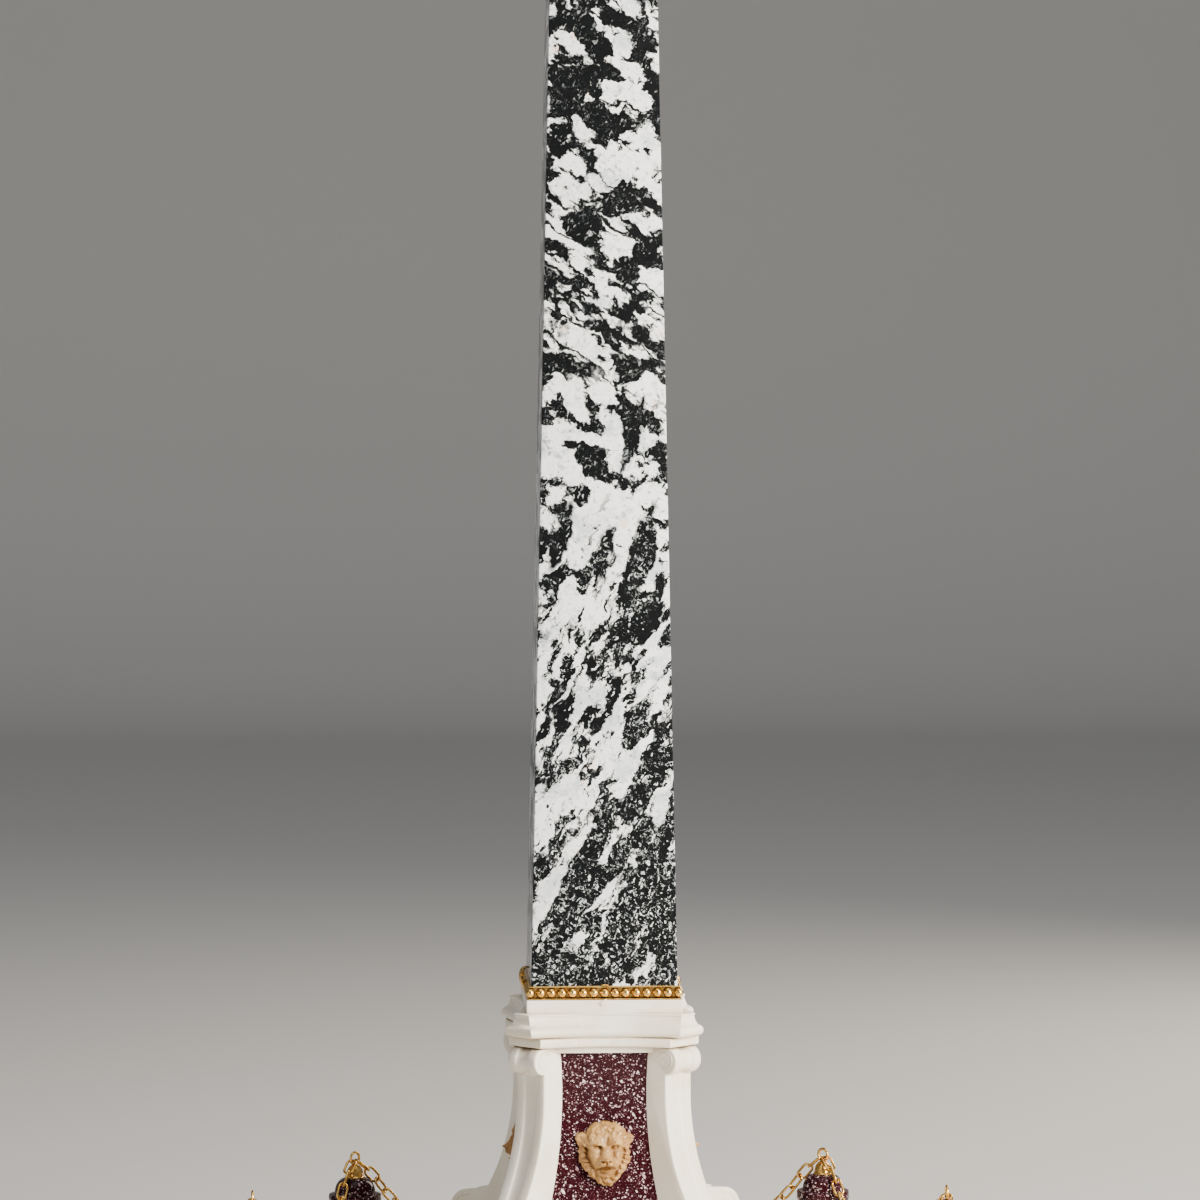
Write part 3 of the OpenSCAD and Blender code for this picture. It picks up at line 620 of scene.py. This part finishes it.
def make_cornice():
    ledge_h = CORNICE_H - BLOCK_H
    band_half = CORNICE_HALF - 2.3
    ledge = CORNICE_HALF - LEDGE_IN
    bulge = CORNICE_HALF - 3.0
    profile = [(rise, band_half - inset) for rise, inset in (
        (0.0, 1.3), (0.3, 0.6), (0.8, 0.2), (1.5, 0.02), (2.2, 0.0), (4.4, 0.0), (4.8, 0.15), (5.1, 0.55),
        (5.4, 0.45))]
    profile += [(8.6 + 3.0 * math.sin(math.radians(a)), bulge + 3.0 * math.cos(math.radians(a)))
                for a in range(-72, 73, 12)]
    for k in range(1, 9):
        u = k / 8
        profile.append((11.6 + u * (ledge_h - 13.0), ledge + 1.7 * (1 - u) ** 2 - 0.5 * u))
    profile += [(ledge_h - 1.1, ledge - 0.2), (ledge_h - 0.8, ledge), (ledge_h - 0.3, ledge),
                (ledge_h - 0.08, ledge - 0.15), (ledge_h, ledge - 0.5)]
    # the arris of the canted corners steps out above the lower band, then runs up almost straight
    levels = []
    for rise, half in profile:
        arris = CORNICE_HALF - 18.8 if rise < 5.2 else CORNICE_HALF - 14.6 + 2.2 * rise / ledge_h
        levels.append((rise, half, half - arris))
    rings = [hollow_square(half, corner, SIDE_HOLLOW, CORNICE_Z + rise, 24) for rise, half, corner in levels]
    mesh = lofted(rings)
    foot_z = CORNICE_Z + ledge_h - 0.5
    block = [(0.0, foot_z), (0.0, COLLAR_Z - 0.35), (0.1, COLLAR_Z - 0.1), (0.35, COLLAR_Z)]
    lofted([square_ring(BLOCK_HALF - inset, z, 0.5) for inset, z in block], into=mesh)
    for vert in mesh.verts:
        if CORNICE_Z + 0.5 < vert.co.z < COLLAR_Z - 0.5:
            push = noise.noise_vector(vert.co * 0.05) * 0.13
            vert.co += Vector((push.x, push.y, 0))
    make_piece("marble_cornice", mesh, MARBLE, ["cornice"], crease=40)


# ---------- lion masks ----------

def knob(x, y, cx, cy, sx, sy, turn=0.0):
    """Rounded swelling, turned by degrees."""
    c = math.cos(math.radians(turn))
    s = math.sin(math.radians(turn))
    dx = (x - cx) * c + (y - cy) * s
    dy = (y - cy) * c - (x - cx) * s
    return math.exp(-(dx / sx) ** 2 - (dy / sy) ** 2)


def groove(x, y, path, width):
    """Depth of a carved line through the given points."""
    best = 1e9
    for (ax, ay), (bx, by) in zip(path, path[1:]):
        dx, dy = bx - ax, by - ay
        t = max(0.0, min(1.0, ((x - ax) * dx + (y - ay) * dy) / (dx * dx + dy * dy)))
        best = min(best, math.hypot(x - ax - t * dx, y - ay - t * dy))
    return math.exp(-(best / width) ** 2)


MASK_EDGE = [(0, 14.0), (9, 13.5), (19, 14.9), (24, 17.2), (30, 18.2), (37, 17.5), (44, 16.3), (54, 17.1),
             (70, 17.4), (90, 17.2), (107, 17.2), (123, 16.5), (132, 14.9), (139, 17.2), (146, 18.4),
             (153, 17.9), (160, 16.2), (167, 14.3), (182, 14.2), (203, 14.4), (223, 14.0), (245, 14.9),
             (260, 16.6), (270, 17.9), (281, 17.9), (292, 16.5), (306, 14.7), (326, 14.2), (344, 14.5),
             (360, 14.0)]
# lift, middle across and up, reach across and up
MASK_SWELLINGS = {
    "forehead": [(1.0, -4.2, 8.4, 3.6, 3.0), (1.15, 5.2, 8.2, 3.6, 3.0)],
    "cheeks": [(1.5, -6.4, 0.4, 2.6, 3.2), (1.4, 7.2, 0.2, 2.4, 3.2)],
    "muzzle": [(3.3, 0.6, -3.9, 5.4, 4.4)],
    "nose tip": [(1.8, 0.6, -2.2, 3.2, 1.4)],
    "whisker pads": [(1.7, -2.0, -5.0, 2.5, 1.7), (1.7, 3.3, -4.9, 2.5, 1.7)],
    "nostrils": [(-1.7, -1.2, -3.1, 0.85, 0.5), (-1.7, 2.4, -3.0, 0.85, 0.5)],
    "open mouth": [(-2.2, 0.5, -7.3, 2.3, 0.95)],
    "lower lip": [(1.7, 0.5, -8.8, 2.1, 0.7)],
    "chin": [(1.3, 0.5, -10.6, 3.0, 1.7)]}
# lift, width, points along the line
MASK_LINES = {
    "furrow": [(-0.85, 0.85, [(1.9, 12.0), (1.2, 9.4), (0.8, 6.6)])],
    "brows": [(1.45, 1.15, [(-8.2, 5.9), (-5.6, 6.6), (-2.0, 5.2)]),
              (1.45, 1.15, [(8.9, 5.8), (6.4, 6.5), (3.1, 5.0)])],
    "hollows beside the nose": [(-1.0, 0.9, [(-2.4, 2.2), (-3.5, -0.6), (-4.9, -3.4)]),
                                (-1.0, 0.9, [(3.5, 2.0), (4.6, -0.8), (6.2, -3.2)])],
    "upper lip": [(-1.2, 0.4, [(0.6, -3.5), (0.55, -5.9)])],
    "mouth": [(-2.2, 0.7, [(-4.0, -7.9), (-2.0, -6.9), (0.5, -6.3), (3.0, -6.8), (5.1, -7.7)])],
    "under the lip": [(-0.8, 0.4, [(-2.6, -9.2), (0.5, -10.0), (3.6, -9.1)])],
    "folds to the mane": [
        (-2.6, 1.25, [(-9.7, 3.0), (-9.3, -0.8), (-7.6, -4.6), (-5.4, -8.6), (-4.4, -11.4)]),
        (-2.4, 1.2, [(10.3, 2.4), (9.7, -1.4), (8.3, -4.8), (6.4, -8.4), (5.4, -11.2)])]}


def mask_edge(angle):
    """Outline radius of the mask: mane, two round ears, and the beard below."""
    for (a0, r0), (a1, r1) in zip(MASK_EDGE, MASK_EDGE[1:]):
        if a0 <= angle <= a1:
            radius = r0 + (r1 - r0) * smooth_step((angle - a0) / (a1 - a0))
            break
    tufts = 0.28 * math.sin(math.radians(angle * 17)) + 0.18 * math.sin(math.radians(angle * 31 + 40))
    ear = knob(angle, 0, 30, 0, 15, 1) + knob(angle, 0, 147, 0, 15, 1)
    return radius + tufts * (1 - min(1.0, ear))


def mask_relief(x, y, t, angle):
    """Height of the carved mask over its back plate, in millimetres."""
    rim = math.sqrt(max(0.0, 1 - t ** 6))
    ears = knob(x, y, -13.4, 8.4, 3.2, 3.0) + knob(x, y, 13.8, 8.1, 3.2, 3.0)
    height = 3.6 * rim
    height += 5.4 * math.exp(-((x - 0.3) / 10.6) ** 4 - ((y - 1.0) / 14.0) ** 4) * (1 - 0.5 * min(1.0, ears))
    # locks of the mane: wavy strands that follow the outline, finer over the forehead
    face = math.hypot((x - 0.4) / 9.4, (y - 0.5) / (10.6 if y > 0 else 11.5))
    mane = smooth_step((face - 0.92) / 0.22)
    flow = math.radians(angle) * (8.5 + 1.5 * math.sin(math.radians(2 * angle))) + 0.55 * math.hypot(x, y)
    waves = 0.5 + 0.5 * math.sin(1.5 * flow + 1.2 * noise.noise(Vector((x * 0.25, y * 0.25, 5.0))) * 3)
    strands = math.sin(4.7 * flow + 3 * noise.noise(Vector((x * 0.4, y * 0.4, 9.0))))
    height += mane * rim * (1.75 * waves + 0.26 * strands - 0.75) * (1 - min(1.0, 1.1 * ears))
    # round ears, hollow in front
    height += 2.4 * min(1.0, ears) * rim
    for cx, cy in ((-13.0, 8.2), (13.4, 7.9)):
        height -= 2.6 * knob(x, y, cx, cy, 1.75, 1.45)
    # parted hair over the forehead
    fringe = knob(x, y, 0.4, 12.8, 7.5, 2.6)
    part = abs(x - 0.9)
    height += fringe * (0.35 * math.sin(1.9 * part + 1.3 * y) + 0.2 * math.sin(3.3 * part - 1.9 * y))
    # eyes: deep inner corners, lids and a rounded ball
    for cx, cy, way in ((-4.2, 4.0, -1), (5.3, 3.9, 1)):
        height -= 1.7 * knob(x, y, cx, cy, 2.5, 1.25)
        height -= 1.6 * knob(x, y, cx - way * 1.7, cy + 0.15, 1.0, 0.95)
        height += 0.8 * knob(x, y, cx + way * 0.1, cy - 0.1, 1.3, 0.75)
        height -= 0.55 * groove(x, y, [(cx - 2.0, cy + 0.35), (cx, cy + 0.6), (cx + 2.0, cy + 0.25)], 0.25)
        height += 0.4 * groove(x, y, [(cx - 1.9, cy - 0.9), (cx, cy - 1.15), (cx + 1.9, cy - 0.8)], 0.35)
    for lift, cx, cy, sx, sy in sum(MASK_SWELLINGS.values(), []):
        height += lift * knob(x, y, cx, cy, sx, sy)
    for lift, width, path in sum(MASK_LINES.values(), []):
        height += lift * groove(x, y, path, width)
    # long flat bridge of the nose
    bridge = smooth_step((6.0 - y) / 3.0) * smooth_step((y + 3.6) / 2.0)
    height += 2.0 * math.exp(-((x - 0.7) / 2.6) ** 4) * bridge
    # curls of the beard
    beard = smooth_step((-10.9 - y) / 1.8) * rim
    curl = noise.noise(Vector((x * 0.30, y * 0.30, 2.0)))
    locks = 0.8 * math.sin(1.5 * x + 2.6 * curl + 0.5 * y) + 0.25 * math.sin(3.9 * x - 1.4 * y)
    height += beard * (0.7 + locks)
    height += 0.3 * noise.noise(Vector((x * 0.7, y * 0.7, 3.0)))
    return max(0.0, height)


def make_masks():
    spokes = 220
    ring_count = 84
    middle_z = (low("lion_mask_front")[2] + high("lion_mask_front")[2]) / 2
    deepest = high("lion_mask_right")[0]
    flat = []
    for ring in range(ring_count):
        t = 1 - ring / ring_count
        t = t ** 0.85
        row = []
        for spoke in range(spokes):
            angle = 360 * spoke / spokes
            radius = t * mask_edge(angle)
            x = radius * math.cos(math.radians(angle))
            y = radius * math.sin(math.radians(angle))
            row.append((x, y, 0.0 if ring == 0 else mask_relief(x, y, t, angle)))
        flat.append(row)
    tallest = max(point[2] + panel_face(middle_z + point[1]) for row in flat for point in row)
    room = deepest - 0.1
    for name, turn in SIDES.items():
        rings = [[(x, 0.15 - panel_face(middle_z + y), middle_z + y) for x, y, _ in flat[0]]]
        for row in flat:
            ring = []
            for x, y, lift in row:
                seat = panel_face(middle_z + y) + 0.05
                proud = lift * (room - seat) / max(0.1, tallest - seat)
                ring.append((x, -seat - proud, middle_z + y))
            rings.append(ring)
        make_piece("lion_mask_carved_" + name, lofted(rings), YELLOW, ["lion_mask_" + name],
                   crease=60, turn=turn)


# ---------- gilt collar and leaves ----------

def make_collar():
    pitch = 5.78
    count = 15
    bead_half = pitch * (count - 1) / 2
    bead_z = (COLLAR_Z + SHAFT_Z) / 2
    rng = random.Random(7)
    mesh = bmesh.new()
    strips = [(1.15, COLLAR_Z), (1.35, COLLAR_Z + 0.2), (1.35, COLLAR_Z + 0.75), (1.05, COLLAR_Z + 0.95),
              (-0.9, COLLAR_Z + 1.1), (-0.9, SHAFT_Z - 1.1), (0.45, SHAFT_Z - 1.0), (0.75, SHAFT_Z - 0.8),
              (0.75, SHAFT_Z - 0.2), (0.55, SHAFT_Z)]
    lofted([square_ring(bead_half + past, z) for past, z in strips], into=mesh)
    for side in range(4):
        turn = Matrix.Rotation(math.radians(90 * side), 4, "Z")
        for i in range(count - 1):
            middle = turn @ Vector((bead_half, i * pitch - bead_half, bead_z))
            size = BEAD_R * rng.uniform(0.97, 1.0)
            place = Matrix.Translation(middle) @ Matrix.Diagonal((1.0, 1.0, rng.uniform(0.97, 1.0), 1.0))
            bmesh.ops.create_uvsphere(mesh, u_segments=18, v_segments=12, radius=size, matrix=place)
    make_piece("gilt_beaded_collar", mesh, GILT, ["beaded_collar"], crease=35)
    lump = bmesh.new()
    bmesh.ops.create_icosphere(lump, subdivisions=4, radius=1.0)
    for vert in lump.verts:
        point = vert.co * (1 + 0.30 * noise.noise(vert.co * 1.7 + Vector((4, 1, 2))))
        vert.co = Vector((-0.4 + point.x * 2.6, point.y * 0.75 - BLOCK_HALF,
                          COLLAR_Z - 1.7 + point.z * 1.9 + 0.5 * point.x))
    make_piece("plaster_repair", lump, MARBLE, [], crease=60)


def make_leaf(node, turn, profile, wide):
    """Curled leaf hanging over the beads: profile points are (distance out, height), foot to tip."""
    columns = 20
    rows = 30
    mesh = bmesh.new()
    rings = []
    for r in range(rows + 1):
        v = r / rows
        place = v * (len(profile) - 1)
        k = min(len(profile) - 2, int(place))
        u = place - k
        before = profile[max(0, k - 1)]
        after = profile[min(len(profile) - 1, k + 2)]
        out, rise = [b + u * ((c - a) + (2 * a - 5 * b + 4 * c - d) * u + (3 * b - a - 3 * c + d) * u * u) / 2
                     for a, b, c, d in zip(before, profile[k], profile[k + 1], after)]
        lobes = 0.80 + 0.20 * abs(math.cos(3 * math.pi * v + 0.3))
        half = wide / 2 * lobes * math.sqrt(max(0.03, 1 - max(0.0, (v - 0.6) / 0.4) ** 2))
        front = []
        back = []
        for c in range(columns + 1):
            side = 2 * c / columns - 1
            rib = 0.28 * math.exp(-(side / 0.14) ** 2) + 0.12 * math.cos(6 * math.pi * side)
            cup = side * side
            front.append((out + rib - cup, side * half, rise))
            back.append((out - 0.75 - cup, side * half * 0.94, rise - 0.25 * v))
        rings.append(front + back[::-1])
    lofted(rings, into=mesh)
    for vert in mesh.verts:
        vert.co.x = min(vert.co.x, high("leaf_right")[0] if turn == 0 else -low("leaf_left")[0])
    make_piece("gilt_" + node, mesh, GILT, [node], crease=50, turn=turn)


def make_leaves():
    bead_out = SHAFT_HALF + BEAD_OUT + BEAD_R
    top = SHAFT_Z + 6.1
    whole = [(bead_out - 0.5, COLLAR_Z + 0.9), (bead_out + 0.3, COLLAR_Z + 2.4),
             (bead_out + 1.3, COLLAR_Z + 5.0), (bead_out + 1.8, SHAFT_Z + 0.6), (bead_out + 1.6, SHAFT_Z + 3.0),
             (bead_out + 0.5, top - 0.7), (bead_out - 1.1, top), (SHAFT_HALF + 0.9, top - 1.0)]
    bent = [(bead_out - 0.5, COLLAR_Z + 1.4), (bead_out + 0.4, COLLAR_Z + 3.4),
            (bead_out + 0.6, COLLAR_Z + 5.4), (bead_out - 0.2, SHAFT_Z - 0.4),
            (SHAFT_HALF + 1.5, SHAFT_Z + 1.0), (SHAFT_HALF + 0.9, SHAFT_Z + 1.6)]
    make_leaf("leaf_left", 180, whole, 11.0)
    make_leaf("leaf_back", 90, whole, 11.0)
    make_leaf("leaf_right", 0, bent, 9.0)
    corners = list(zip(low("leaf_stub_front"), high("leaf_stub_front")))
    mesh = bmesh.new()
    bmesh.ops.create_icosphere(mesh, subdivisions=3, radius=1.0)
    for vert in mesh.verts:
        point = vert.co * (1 + 0.22 * noise.noise(vert.co * 2.2)) * 0.44
        vert.co = Vector([(a + b) / 2 + spread * (b - a) for (a, b), spread in zip(corners, point)])
    make_piece("gilt_leaf_stub", mesh, GILT, ["leaf_stub_front"])


# ---------- shaft ----------

def make_shaft():
    shaft_h = SHAFT_TOP - SHAFT_Z - PYRAMID_H
    top_half = SHAFT_HALF - SHAFT_TAPER * shaft_h / 2
    bevel = 0.8
    mesh = lofted([[(x * half, y * half, z) for x, y in ((1, 1), (-1, 1), (-1, -1), (1, -1))]
                   for half, z in ((SHAFT_HALF, SHAFT_Z), (top_half, SHAFT_Z + shaft_h), (0.9, SHAFT_TOP))])
    slanted = [edge for edge in mesh.edges if abs(edge.verts[0].co.z - edge.verts[1].co.z) > 1]
    bmesh.ops.bevel(mesh, geom=slanted, offset=bevel, affect="EDGES", segments=3, profile=0.5, material=-1,
                    clamp_overlap=True)
    make_piece("granite_shaft", mesh, GRANITE, ["shaft"], crease=20)


# ---------- bollards, caps, eyes and chains ----------

BOLLARDS = 8
DOME_H = 9.2
EYE_R = 4.2
EYE_WIRE = 1.6
CAP_R = 5.5
CAP_H = 7.5
LINK_L = 11.6
LINK_W = 7.0
LINK_WIRE = 1.5
LINK_PLAY = 0.08
HOOK_SLOPE = math.radians(40)
RIM_SLOPE = math.radians(48)
HANG_SLOPE = math.radians(54)
LINK_TWIST = (0, 66, 132, 42)
EYE_Z = EYE_TOP - EYE_R
EYE_MID = EYE_R - EYE_WIRE / 2


def bollard_place(index):
    """Matrix that stands a part made on the axis at its bollard, X pointing outwards."""
    turn = Matrix.Rotation(math.radians(360 * index / BOLLARDS - 90), 4, "Z")
    return turn @ Matrix.Translation((RING_R, 0, 0))


def make_bollards():
    neck = 11.9
    rim = 15.2
    rim_top = BOLLARD_TOP - DOME_H
    rim_low = rim_top - 5.8
    z = WALK_Z
    profile = [(0, z), (15.2, z), (15.5, z + 0.3), (15.5, z + 2.4), (15.1, z + 2.9), (14.2, z + 3.1),
               (13.6, z + 3.6), (13.3, z + 4.6), (neck + 0.9, z + 8), (neck + 0.3, z + 20),
               (neck, rim_low - 3.0), (neck + 0.3, rim_low - 2.0), (neck + 1.4, rim_low - 0.9),
               (rim - 1.0, rim_low - 0.1), (rim - 0.3, rim_low + 0.3), (rim, rim_low + 0.9),
               (rim, rim_top - 0.8), (rim - 0.25, rim_top - 0.25), (rim - 0.9, rim_top),
               (neck + 0.6, rim_top), (neck, rim_top + 0.15)]
    profile += arc(CAP_R, rim_top, neck - CAP_R, 0, 90, 12, DOME_H)[1:] + [(0, BOLLARD_TOP)]
    for index in range(BOLLARDS):
        mesh = turned(profile, 72)
        bmesh.ops.transform(mesh, matrix=bollard_place(index), verts=mesh.verts)
        node = "bollard_%d" % (index + 1)
        make_piece("porphyry_" + node, mesh, PORPHYRY, [node], crease=32)


def add_ring(mesh, radius, gauge, steps, sides):
    """Wire ring in the XY plane; returns its vertices."""
    before = set(mesh.verts)
    place = Matrix.Translation((radius, 0, 0)) @ Matrix.Rotation(math.pi / 2, 4, "X")
    section = bmesh.ops.create_circle(mesh, segments=sides, radius=gauge / 2, matrix=place)
    edges = list({edge for vert in section["verts"] for edge in vert.link_edges})
    bmesh.ops.spin(mesh, geom=section["verts"] + edges, cent=(0, 0, 0), axis=(0, 0, 1), angle=math.tau,
                   steps=steps, use_merge=True, use_duplicate=False)
    return [vert for vert in mesh.verts if vert not in before]


def make_caps_and_eyes():
    whole = bmesh.new()
    for index in range(BOLLARDS):
        mesh = bmesh.new()
        z = BOLLARD_TOP
        profile = [(0, z), (CAP_R - 0.1, z), (CAP_R, z + 0.15), (CAP_R, z + 0.7), (CAP_R - 0.35, z + 1.0)]
        profile += arc(1.2, z + 0.8, CAP_R - 1.7, 0, 90, 10, CAP_H - 0.8)[1:] + [(0, z + CAP_H)]
        turned(profile, 40, into=mesh)
        verts = add_ring(mesh, EYE_MID, EYE_WIRE, 32, 12)
        place = Matrix.Translation((0, 0, EYE_Z)) @ Matrix.Rotation(math.pi / 2, 4, "Y")
        bmesh.ops.transform(mesh, matrix=place, verts=verts)
        bmesh.ops.transform(mesh, matrix=bollard_place(index), verts=mesh.verts)
        part = bpy.data.meshes.new("cap")
        mesh.to_mesh(part)
        mesh.free()
        whole.from_mesh(part)
        bpy.data.meshes.remove(part)
    make_piece("gilt_caps_and_eyes", whole, GILT, ["caps_and_eyes"], crease=40)


def add_link(mesh, place):
    """Oval wire link lying along X before it is placed."""
    bend = (LINK_W - LINK_WIRE) / 2
    half_straight = (LINK_L - LINK_W) / 2
    steps = 22
    verts = add_ring(mesh, bend, LINK_WIRE, steps, 10)
    bmesh.ops.rotate(mesh, verts=verts, cent=(0, 0, 0), matrix=Matrix.Rotation(math.pi / steps, 3, "Z"))
    for vert in verts:
        vert.co.x += half_straight if vert.co.x > 0 else -half_straight
    bmesh.ops.transform(mesh, matrix=place, verts=verts)


def make_chains():
    """Swags of links: two lie over each bollard's head, the rest hang between them."""
    pitch = LINK_L - 2 * LINK_WIRE - LINK_PLAY
    first = LINK_L / 2 - LINK_WIRE - EYE_WIRE / 2 - LINK_PLAY + pitch / 2
    out = EYE_MID * math.cos(HOOK_SLOPE)
    half_turn = math.pi / BOLLARDS
    head = out * math.cos(half_turn) + first * math.cos(HOOK_SLOPE) + pitch * math.cos(RIM_SLOPE)
    fall = (EYE_MID + first) * math.sin(HOOK_SLOPE) + pitch * math.sin(RIM_SLOPE)
    span = 2 * RING_R * math.sin(half_turn) - 2 * head
    wanted = math.asinh(math.tan(HANG_SLOPE))
    pairs = round((span * math.sinh(wanted) / wanted / pitch - 1) / 2)
    length = (2 * pairs + 1) * pitch
    small, large = 0.001, 4.0
    for _ in range(50):
        middle = (small + large) / 2
        if math.sinh(middle) / middle < length / span:
            small = middle
        else:
            large = middle
    a = span / (2 * small)
    drop = a * (math.cosh(small) - 1)
    spots = []
    for n in range(-pairs, pairs + 1):
        s = n * pitch
        spots.append((a * math.asinh(s / a), math.sqrt(a * a + s * s) - a, math.atan(s / a),
                      LINK_TWIST[2 + (pairs - abs(n)) % 2]))
    x = span / 2
    z = drop
    for slope, twist in ((RIM_SLOPE, LINK_TWIST[1]), (HOOK_SLOPE, LINK_TWIST[0])):
        along = pitch * math.cos(slope)
        rise = pitch * math.sin(slope)
        spots += [(side * (x + along / 2), z + rise / 2, side * slope, twist) for side in (-1, 1)]
        x += along
        z += rise
    for index in range(BOLLARDS):
        mesh = bmesh.new()
        swing = Matrix.Rotation(math.tau * (index + 0.5) / BOLLARDS, 4, "Z")
        swing = swing @ Matrix.Translation((0, -RING_R * math.cos(half_turn) - out * math.sin(half_turn),
                                            EYE_Z - fall - drop))
        for x, z, slope, twist in spots:
            place = swing @ Matrix.Translation((x, 0, z)) @ Matrix.Rotation(-slope, 4, "Y")
            add_link(mesh, place @ Matrix.Rotation(math.radians(twist), 4, "X"))
        node = "chain_%d" % (index + 1)
        make_piece("gilt_" + node, mesh, GILT, [node], crease=60)


make_base()
make_legs()
make_panels()
make_cornice()
make_masks()
make_collar()
make_leaves()
make_shaft()
make_bollards()
make_caps_and_eyes()
make_chains()

# the core and the frieze keep their shape and take the marble
for node in ("pedestal_core", "frieze_strip"):
    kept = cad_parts[node]
    kept.data.materials.clear()
    kept.data.materials.append(MARBLE)


# ---------- floor, light and camera ----------

def make_stage():
    """Pale floor that sweeps up into a wall, in metres."""
    mesh = bmesh.new()
    reach = 30.0
    back = 5.6
    sweep_r = 0.8
    profile = [(-reach, 0.0), (back - sweep_r, 0.0)]
    profile += arc(back - sweep_r, sweep_r, sweep_r, -90, 0, 10)[1:] + [(back, 3.0)]
    verts = [mesh.verts.new((-reach, y, z)) for y, z in profile]
    edges = [mesh.edges.new((verts[i], verts[i + 1])) for i in range(len(verts) - 1)]
    pulled = bmesh.ops.extrude_edge_only(mesh, edges=edges)
    moved = [part for part in pulled["geom"] if isinstance(part, bmesh.types.BMVert)]
    bmesh.ops.translate(mesh, verts=moved, vec=(2 * reach, 0, 0))
    data = bpy.data.meshes.new("studio_sweep")
    mesh.to_mesh(data)
    mesh.free()
    for face in data.polygons:
        face.use_smooth = True
    paper = bpy.data.materials.new("pale paper")
    paper.use_nodes = True
    shader = paper.node_tree.nodes["Principled BSDF"]
    shader.inputs["Base Color"].default_value = (0.62, 0.61, 0.60, 1)
    shader.inputs["Roughness"].default_value = 0.9
    data.materials.append(paper)
    sweep = bpy.data.objects.new("studio_sweep", data)
    bpy.context.scene.collection.objects.link(sweep)


def make_light(name, place, target, size, power, colour):
    light = bpy.data.lights.new(name, "AREA")
    light.shape = "RECTANGLE"
    light.size, light.size_y = size
    light.energy = power
    light.color = colour
    lamp = bpy.data.objects.new(name, light)
    lamp.location = place
    lamp.rotation_euler = (Vector(target) - Vector(place)).to_track_quat("-Z", "Y").to_euler()
    bpy.context.scene.collection.objects.link(lamp)


def make_studio():
    make_stage()
    make_light("key_right", (1.25, -1.20, 0.80), (0, 0, 0.28), (0.45, 1.1), 112, (1.0, 0.94, 0.84))
    make_light("fill_left", (-1.7, -1.6, 0.8), (0, 0, 0.35), (1.0, 1.5), 9, (0.95, 0.97, 1.0))
    make_light("top_soft", (0.2, -0.5, 2.2), (0, 0, 0.2), (1.5, 1.5), 16, (1.0, 0.98, 0.95))
    make_light("rim_right", (1.2, 1.4, 1.0), (0, 0, 0.3), (0.5, 1.2), 22, (1.0, 0.90, 0.76))
    world = bpy.data.worlds.new("studio air")
    world.use_nodes = True
    sky = world.node_tree.nodes["Background"]
    sky.inputs["Color"].default_value = (0.86, 0.90, 0.96, 1)
    sky.inputs["Strength"].default_value = 0.20
    bpy.context.scene.world = world


def make_camera():
    data = bpy.data.cameras.new("camera")
    data.lens = 150.0
    data.sensor_width = 36.0
    data.clip_end = 50.0
    camera = bpy.data.objects.new("camera", data)
    camera.location = (-0.1342, -2.7447, 0.5598)
    target = Vector((-0.0005, 0.0, 0.4333))
    camera.rotation_euler = (target - camera.location).to_track_quat("-Z", "Y").to_euler()
    bpy.context.scene.collection.objects.link(camera)
    bpy.context.scene.camera = camera


make_studio()
make_camera()
